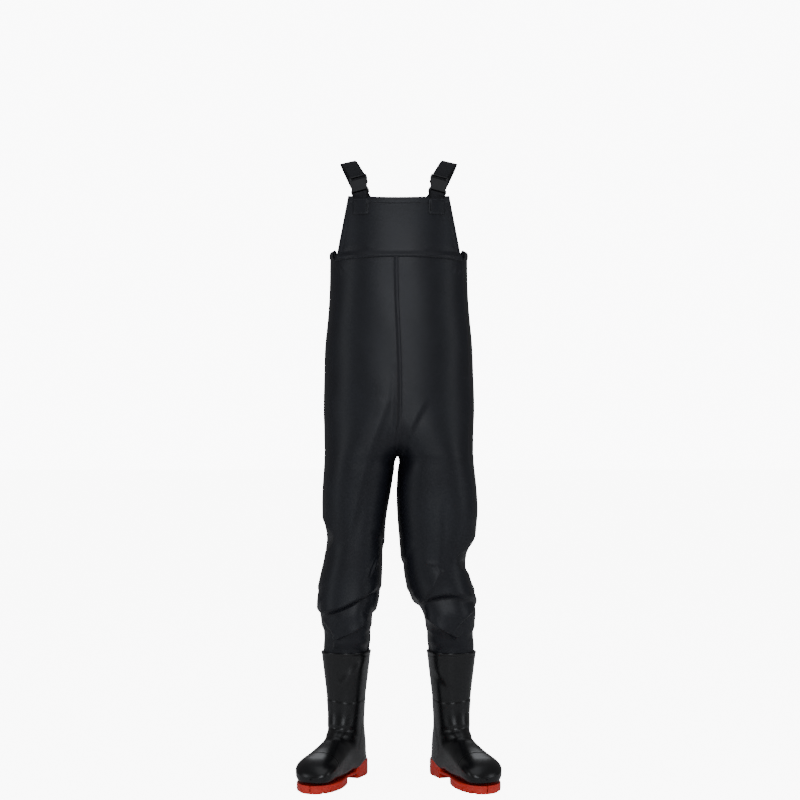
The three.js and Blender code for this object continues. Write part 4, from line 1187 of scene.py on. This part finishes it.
# Creases over the instep: height on the boot, depth in millimetres, width, and how far its ends drop.
instep_creases = [(126, -1.1, 6, 10), (114, 0.8, 5, 12), (104, -1.4, 6, 16), (90, -0.7, 7, 18)]
boot_steps, boot_columns = 340, 168
shell = boot_ring_points(boot_rings, boot_steps, boot_columns, 0)
normals = grid_normals(np.concatenate([shell[:, -1:], shell, shell[:, :1]], axis=1))[:, 1:-1]
x, forward, z = shell[..., 0], -shell[..., 1], shell[..., 2]
on_front = smoothstep(-normals[..., 1], -0.2, 0.5)
on_top = smoothstep(normals[..., 2], -0.1, 0.3)
step_line = 186 + 3 * np.sin(np.arctan2(x, forward) * 2)
rim_bead = 1.1 * ridge(z, 300.5, 2.4) + 0.5 * ridge(z, 291, 1.2)
below_step = 0.9 * smoothstep(z, step_line + 0.8, step_line - 0.8)
counter_edge = np.maximum(forward + 34 - (186 - z) * 0.42, (z - 178) * 2)
counter = 0.7 * smoothstep(counter_edge, 1.2, -1.2) * smoothstep(z, 60, 70)
cap_edge = forward - 138 - 10 * (x / 50) ** 2
cap = 0.8 * smoothstep(cap_edge, -1.2, 1.2) + 0.5 * ridge(cap_edge, -6, 1.5)
lift = rim_bead + below_step + counter + cap * smoothstep(z, 28, 36) * on_top
for middle, height, width, bow in instep_creases:
    crease = ridge(z, middle - bow * (np.abs(x) / 38) ** 2, width)
    lift += height * crease * on_front * smoothstep(forward, 22, 40)
welt = z - 27 - 6 * smoothstep(forward, 20, -10) - 11 * smoothstep(forward, 10, -20)
lift += 0.7 * ridge(welt, 0, 2.2)
outside = shell + normals * lift[..., None]
inner_shell = boot_ring_points(boot_rings, boot_steps, boot_columns, -boot_wall)
inner_shell[..., 1] += boot_wall * smoothstep(np.arange(boot_steps), boot_steps * 0.85, boot_steps)[:, None]
# Soft folds of the shafts, written like the creases of the trousers.
boot_folds = {
    "right": [
        ([(-72, 306), (-96, 280), (-128, 246), (-148, 226)], (2.6, 26), (-2.8, 28), 26),
        ([(-158, 252), (-140, 214), (-128, 196)], (1.2, 20), (-1.2, 20), 22),
    ],
    "left": [
        ([(168, 300), (150, 262), (142, 226)], (1.6, 22), (-1.6, 22), 24),
        ([(84, 262), (104, 236), (128, 214)], (2.2, 24), (-2.2, 26), 26),
    ],
}

for side, sign in sides.items():
    outer, inner = on_foot(outside, sign), on_foot(inner_shell, sign)
    facing_out = grid_normals(outer)
    for crease in boot_folds[side]:
        shift = lifted(0, facing_out, fold(outer, facing_out, "front", *crease))
        outer, inner = outer + shift, inner + shift
    boot = grid_mesh(side + "_boot", outer, inner, [boot_pvc], wrap=True)
    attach(boot, "suit")
    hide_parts(side + "_boot_upper")

# ---------------- soles
# A thick red sole and heel on each boot, moulded onto it in one shot. The foxing rises round the edge,
# the arch stands clear of the ground, and straight cleats make the tread.

# Injection-moulded PVC again, but red and less glossy, with the faint cloudiness of a pigmented sole.
sole_pvc, tree, surface = new_material("moulded_pvc_red_sole", {"Roughness": 0.42})
cloud_size = 25 * mm
cloud = pattern(tree, "ShaderNodeTexNoise", {"Scale": 1 / cloud_size, "Detail": 2.0})
reds = two_tones(tree, cloud.outputs["Fac"], "#D8281A", "#EA3826")
tree.links.new(reds, surface.inputs["Base Color"])

foxing, heel_height, sole_back, sole_toe = 19, 38, 72, 219
arch_span, arch_rise = (10, 84), 13
groove_width, groove_depth = 5, 6
grooves = [98, 115, 132, 149, 166, 183, 200, -44, -26]
# The sole's outline from the heel up its inner side to the toe and back, as (across, forward).
sole_curves = [
    [(-6, -72), (-30, -72), (-42, -52), (-41, -22)],
    [(-41, -22), (-40, 10), (-38, 40), (-42, 80)],
    [(-42, 80), (-47, 110), (-54, 120), (-52, 152)],
    [(-52, 152), (-50, 190), (-36, 219), (-9, 219)],
    [(-9, 219), (26, 219), (48, 186), (53, 150)],
    [(53, 150), (57, 112), (42, 84), (39, 44)],
    [(39, 44), (38, 14), (42, -10), (41, -22)],
    [(41, -22), (41, -52), (24, -72), (-6, -72)],
]


def bezier(a, b, c, d, steps=60):
    t = np.linspace(0, 1, steps)[:, None]
    a, b, c, d = (np.array(p, float) for p in (a, b, c, d))
    return a * (1 - t) ** 3 + 3 * b * t * (1 - t) ** 2 + 3 * c * t * t * (1 - t) + d * t**3


inner_edge = np.vstack([bezier(*curve) for curve in sole_curves[:4]])
outer_edge = np.vstack([bezier(*curve) for curve in sole_curves[4:]])[::-1]
ends = 0.5 - 0.5 * np.cos(np.linspace(0, math.pi, 26))
lengths = np.concatenate([
    -sole_back + 0.05 + ends[:13] * 40, np.arange(-51, 198, 0.9), sole_toe - 0.05 - ends[:13][::-1] * 40,
])
low_x = np.interp(lengths, inner_edge[:, 1], inner_edge[:, 0])
high_x = np.interp(lengths, outer_edge[:, 1], outer_edge[:, 0])
bottom = arch_rise * smoothstep(lengths, arch_span[0] - 0.6, arch_span[0] + 0.6)
bottom *= smoothstep(lengths, arch_span[1] + 0.6, arch_span[1] - 0.6)
for groove in grooves:
    from_middle = np.abs(lengths - groove - groove_width / 2)
    bottom += groove_depth * smoothstep(from_middle, groove_width / 2 + 0.4, groove_width / 2 - 0.4)
top = foxing + (heel_height - foxing) * smoothstep(lengths, 20, 0)
# Across the sole: the share of its width, and of its height, at each point of its section.
wall = [(0.975, 0.06), (0.992, 0.16), (1.0, 0.3), (1.0, 0.6), (1.0, 0.66), (1.0, 0.72), (0.995, 0.9)]
section = [(0.94, 0.0), *wall, (0.975, 1.0), (0.88, 1.0), (0.8, 0.86), (0.3, 0.82)]
section += [(-u, h) for u, h in section[::-1]]
section += [(u, 0.0) for u in np.linspace(-0.88, 0.88, 15)]
u, h = np.array(section).T
middle_x, half = (low_x + high_x)[:, None] / 2, (high_x - low_x)[:, None] / 2
half = half - (2.5 * smoothstep(lengths, 96, 60))[:, None] * smoothstep(half, 0, 20)
side_line = np.where(np.isclose(h, 0.66) & (np.abs(u) > 0.99), 0.7, 0)  # moulded round its wall
sole_x = middle_x + u * np.maximum(half - side_line, 0.01)
sole_z = bottom[:, None] + (top - bottom)[:, None] * h
sole = np.stack([sole_x, np.repeat(-lengths[:, None], len(u), axis=1), sole_z], axis=-1)
middle_z = (bottom + top)[:, None] / 2
sole_core = np.stack([(sole_x + middle_x) / 2, sole[..., 1], (sole_z + middle_z) / 2], axis=-1)

for side, sign in sides.items():
    outsole = grid_mesh(side + "_sole", on_foot(sole, sign), on_foot(sole_core, sign), [sole_pvc], wrap=True)
    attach(outsole, "suit")
    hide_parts(side + "_boot_outsole")

# ---------------- insoles
# A loose insole of soft foam, cut to the floor of each boot.

# Open-cell foam with a knitted cover, as an insole has.
insole_foam, tree, surface = new_material(
    "polyurethane_insole_foam", {"Base Color": "#34363C", "Roughness": 0.95}
)
foam_cell = 2.5 * mm
cells = pattern(tree, "ShaderNodeTexVoronoi", {"Scale": 1 / foam_cell})
bumped(tree, surface, cells.outputs["Distance"], 0.3, 0.4 * mm)

# The part of the boot's inside that it covers, as ring numbers and shares of the turn round the foot.
insole_rings, insole_turn = (6.2, 11.6), (0.59, 0.91)
insole_rows = slice(*(int(boot_steps * ring / (len(boot_rings) - 1)) for ring in insole_rings))
insole_columns = slice(*(int(boot_columns * share) for share in insole_turn))
insole_low, insole_high = (
    boot_ring_points(boot_rings, boot_steps, boot_columns, -boot_wall - gap)[insole_rows, insole_columns]
    for gap in (0.4, 4.4)
)

for side, sign in sides.items():
    pad = grid_mesh(side + "_insole", on_foot(insole_low, sign), on_foot(insole_high, sign), [insole_foam])
    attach(pad, "suit")
    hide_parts(side + "_boot_insole")

# ---------------- weld bands
# A band of the sealing film inside each boot's rim joins the leg to the boot, so that it keeps water out.

band_rows = np.array([303, 298, 290, 283])
band_inset = 3.3 + 0.12 * (boot_rings[0][1] - band_rows)
band_thickness = 1.2
weld_faces = [
    np.stack([
        boot_ring_points([(0, z, *boot_rings[0][2:])] * 2, 2, 96, -inset)[0]
        for z, inset in zip(band_rows, band_inset + extra)
    ])
    for extra in (0.0, band_thickness)
]

for side, sign in sides.items():
    weld = grid_mesh(side + "_weld", *(on_foot(face, sign) for face in weld_faces), [sealing_tape], wrap=True)
    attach(weld, "suit")
    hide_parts(side + "_weld_band")
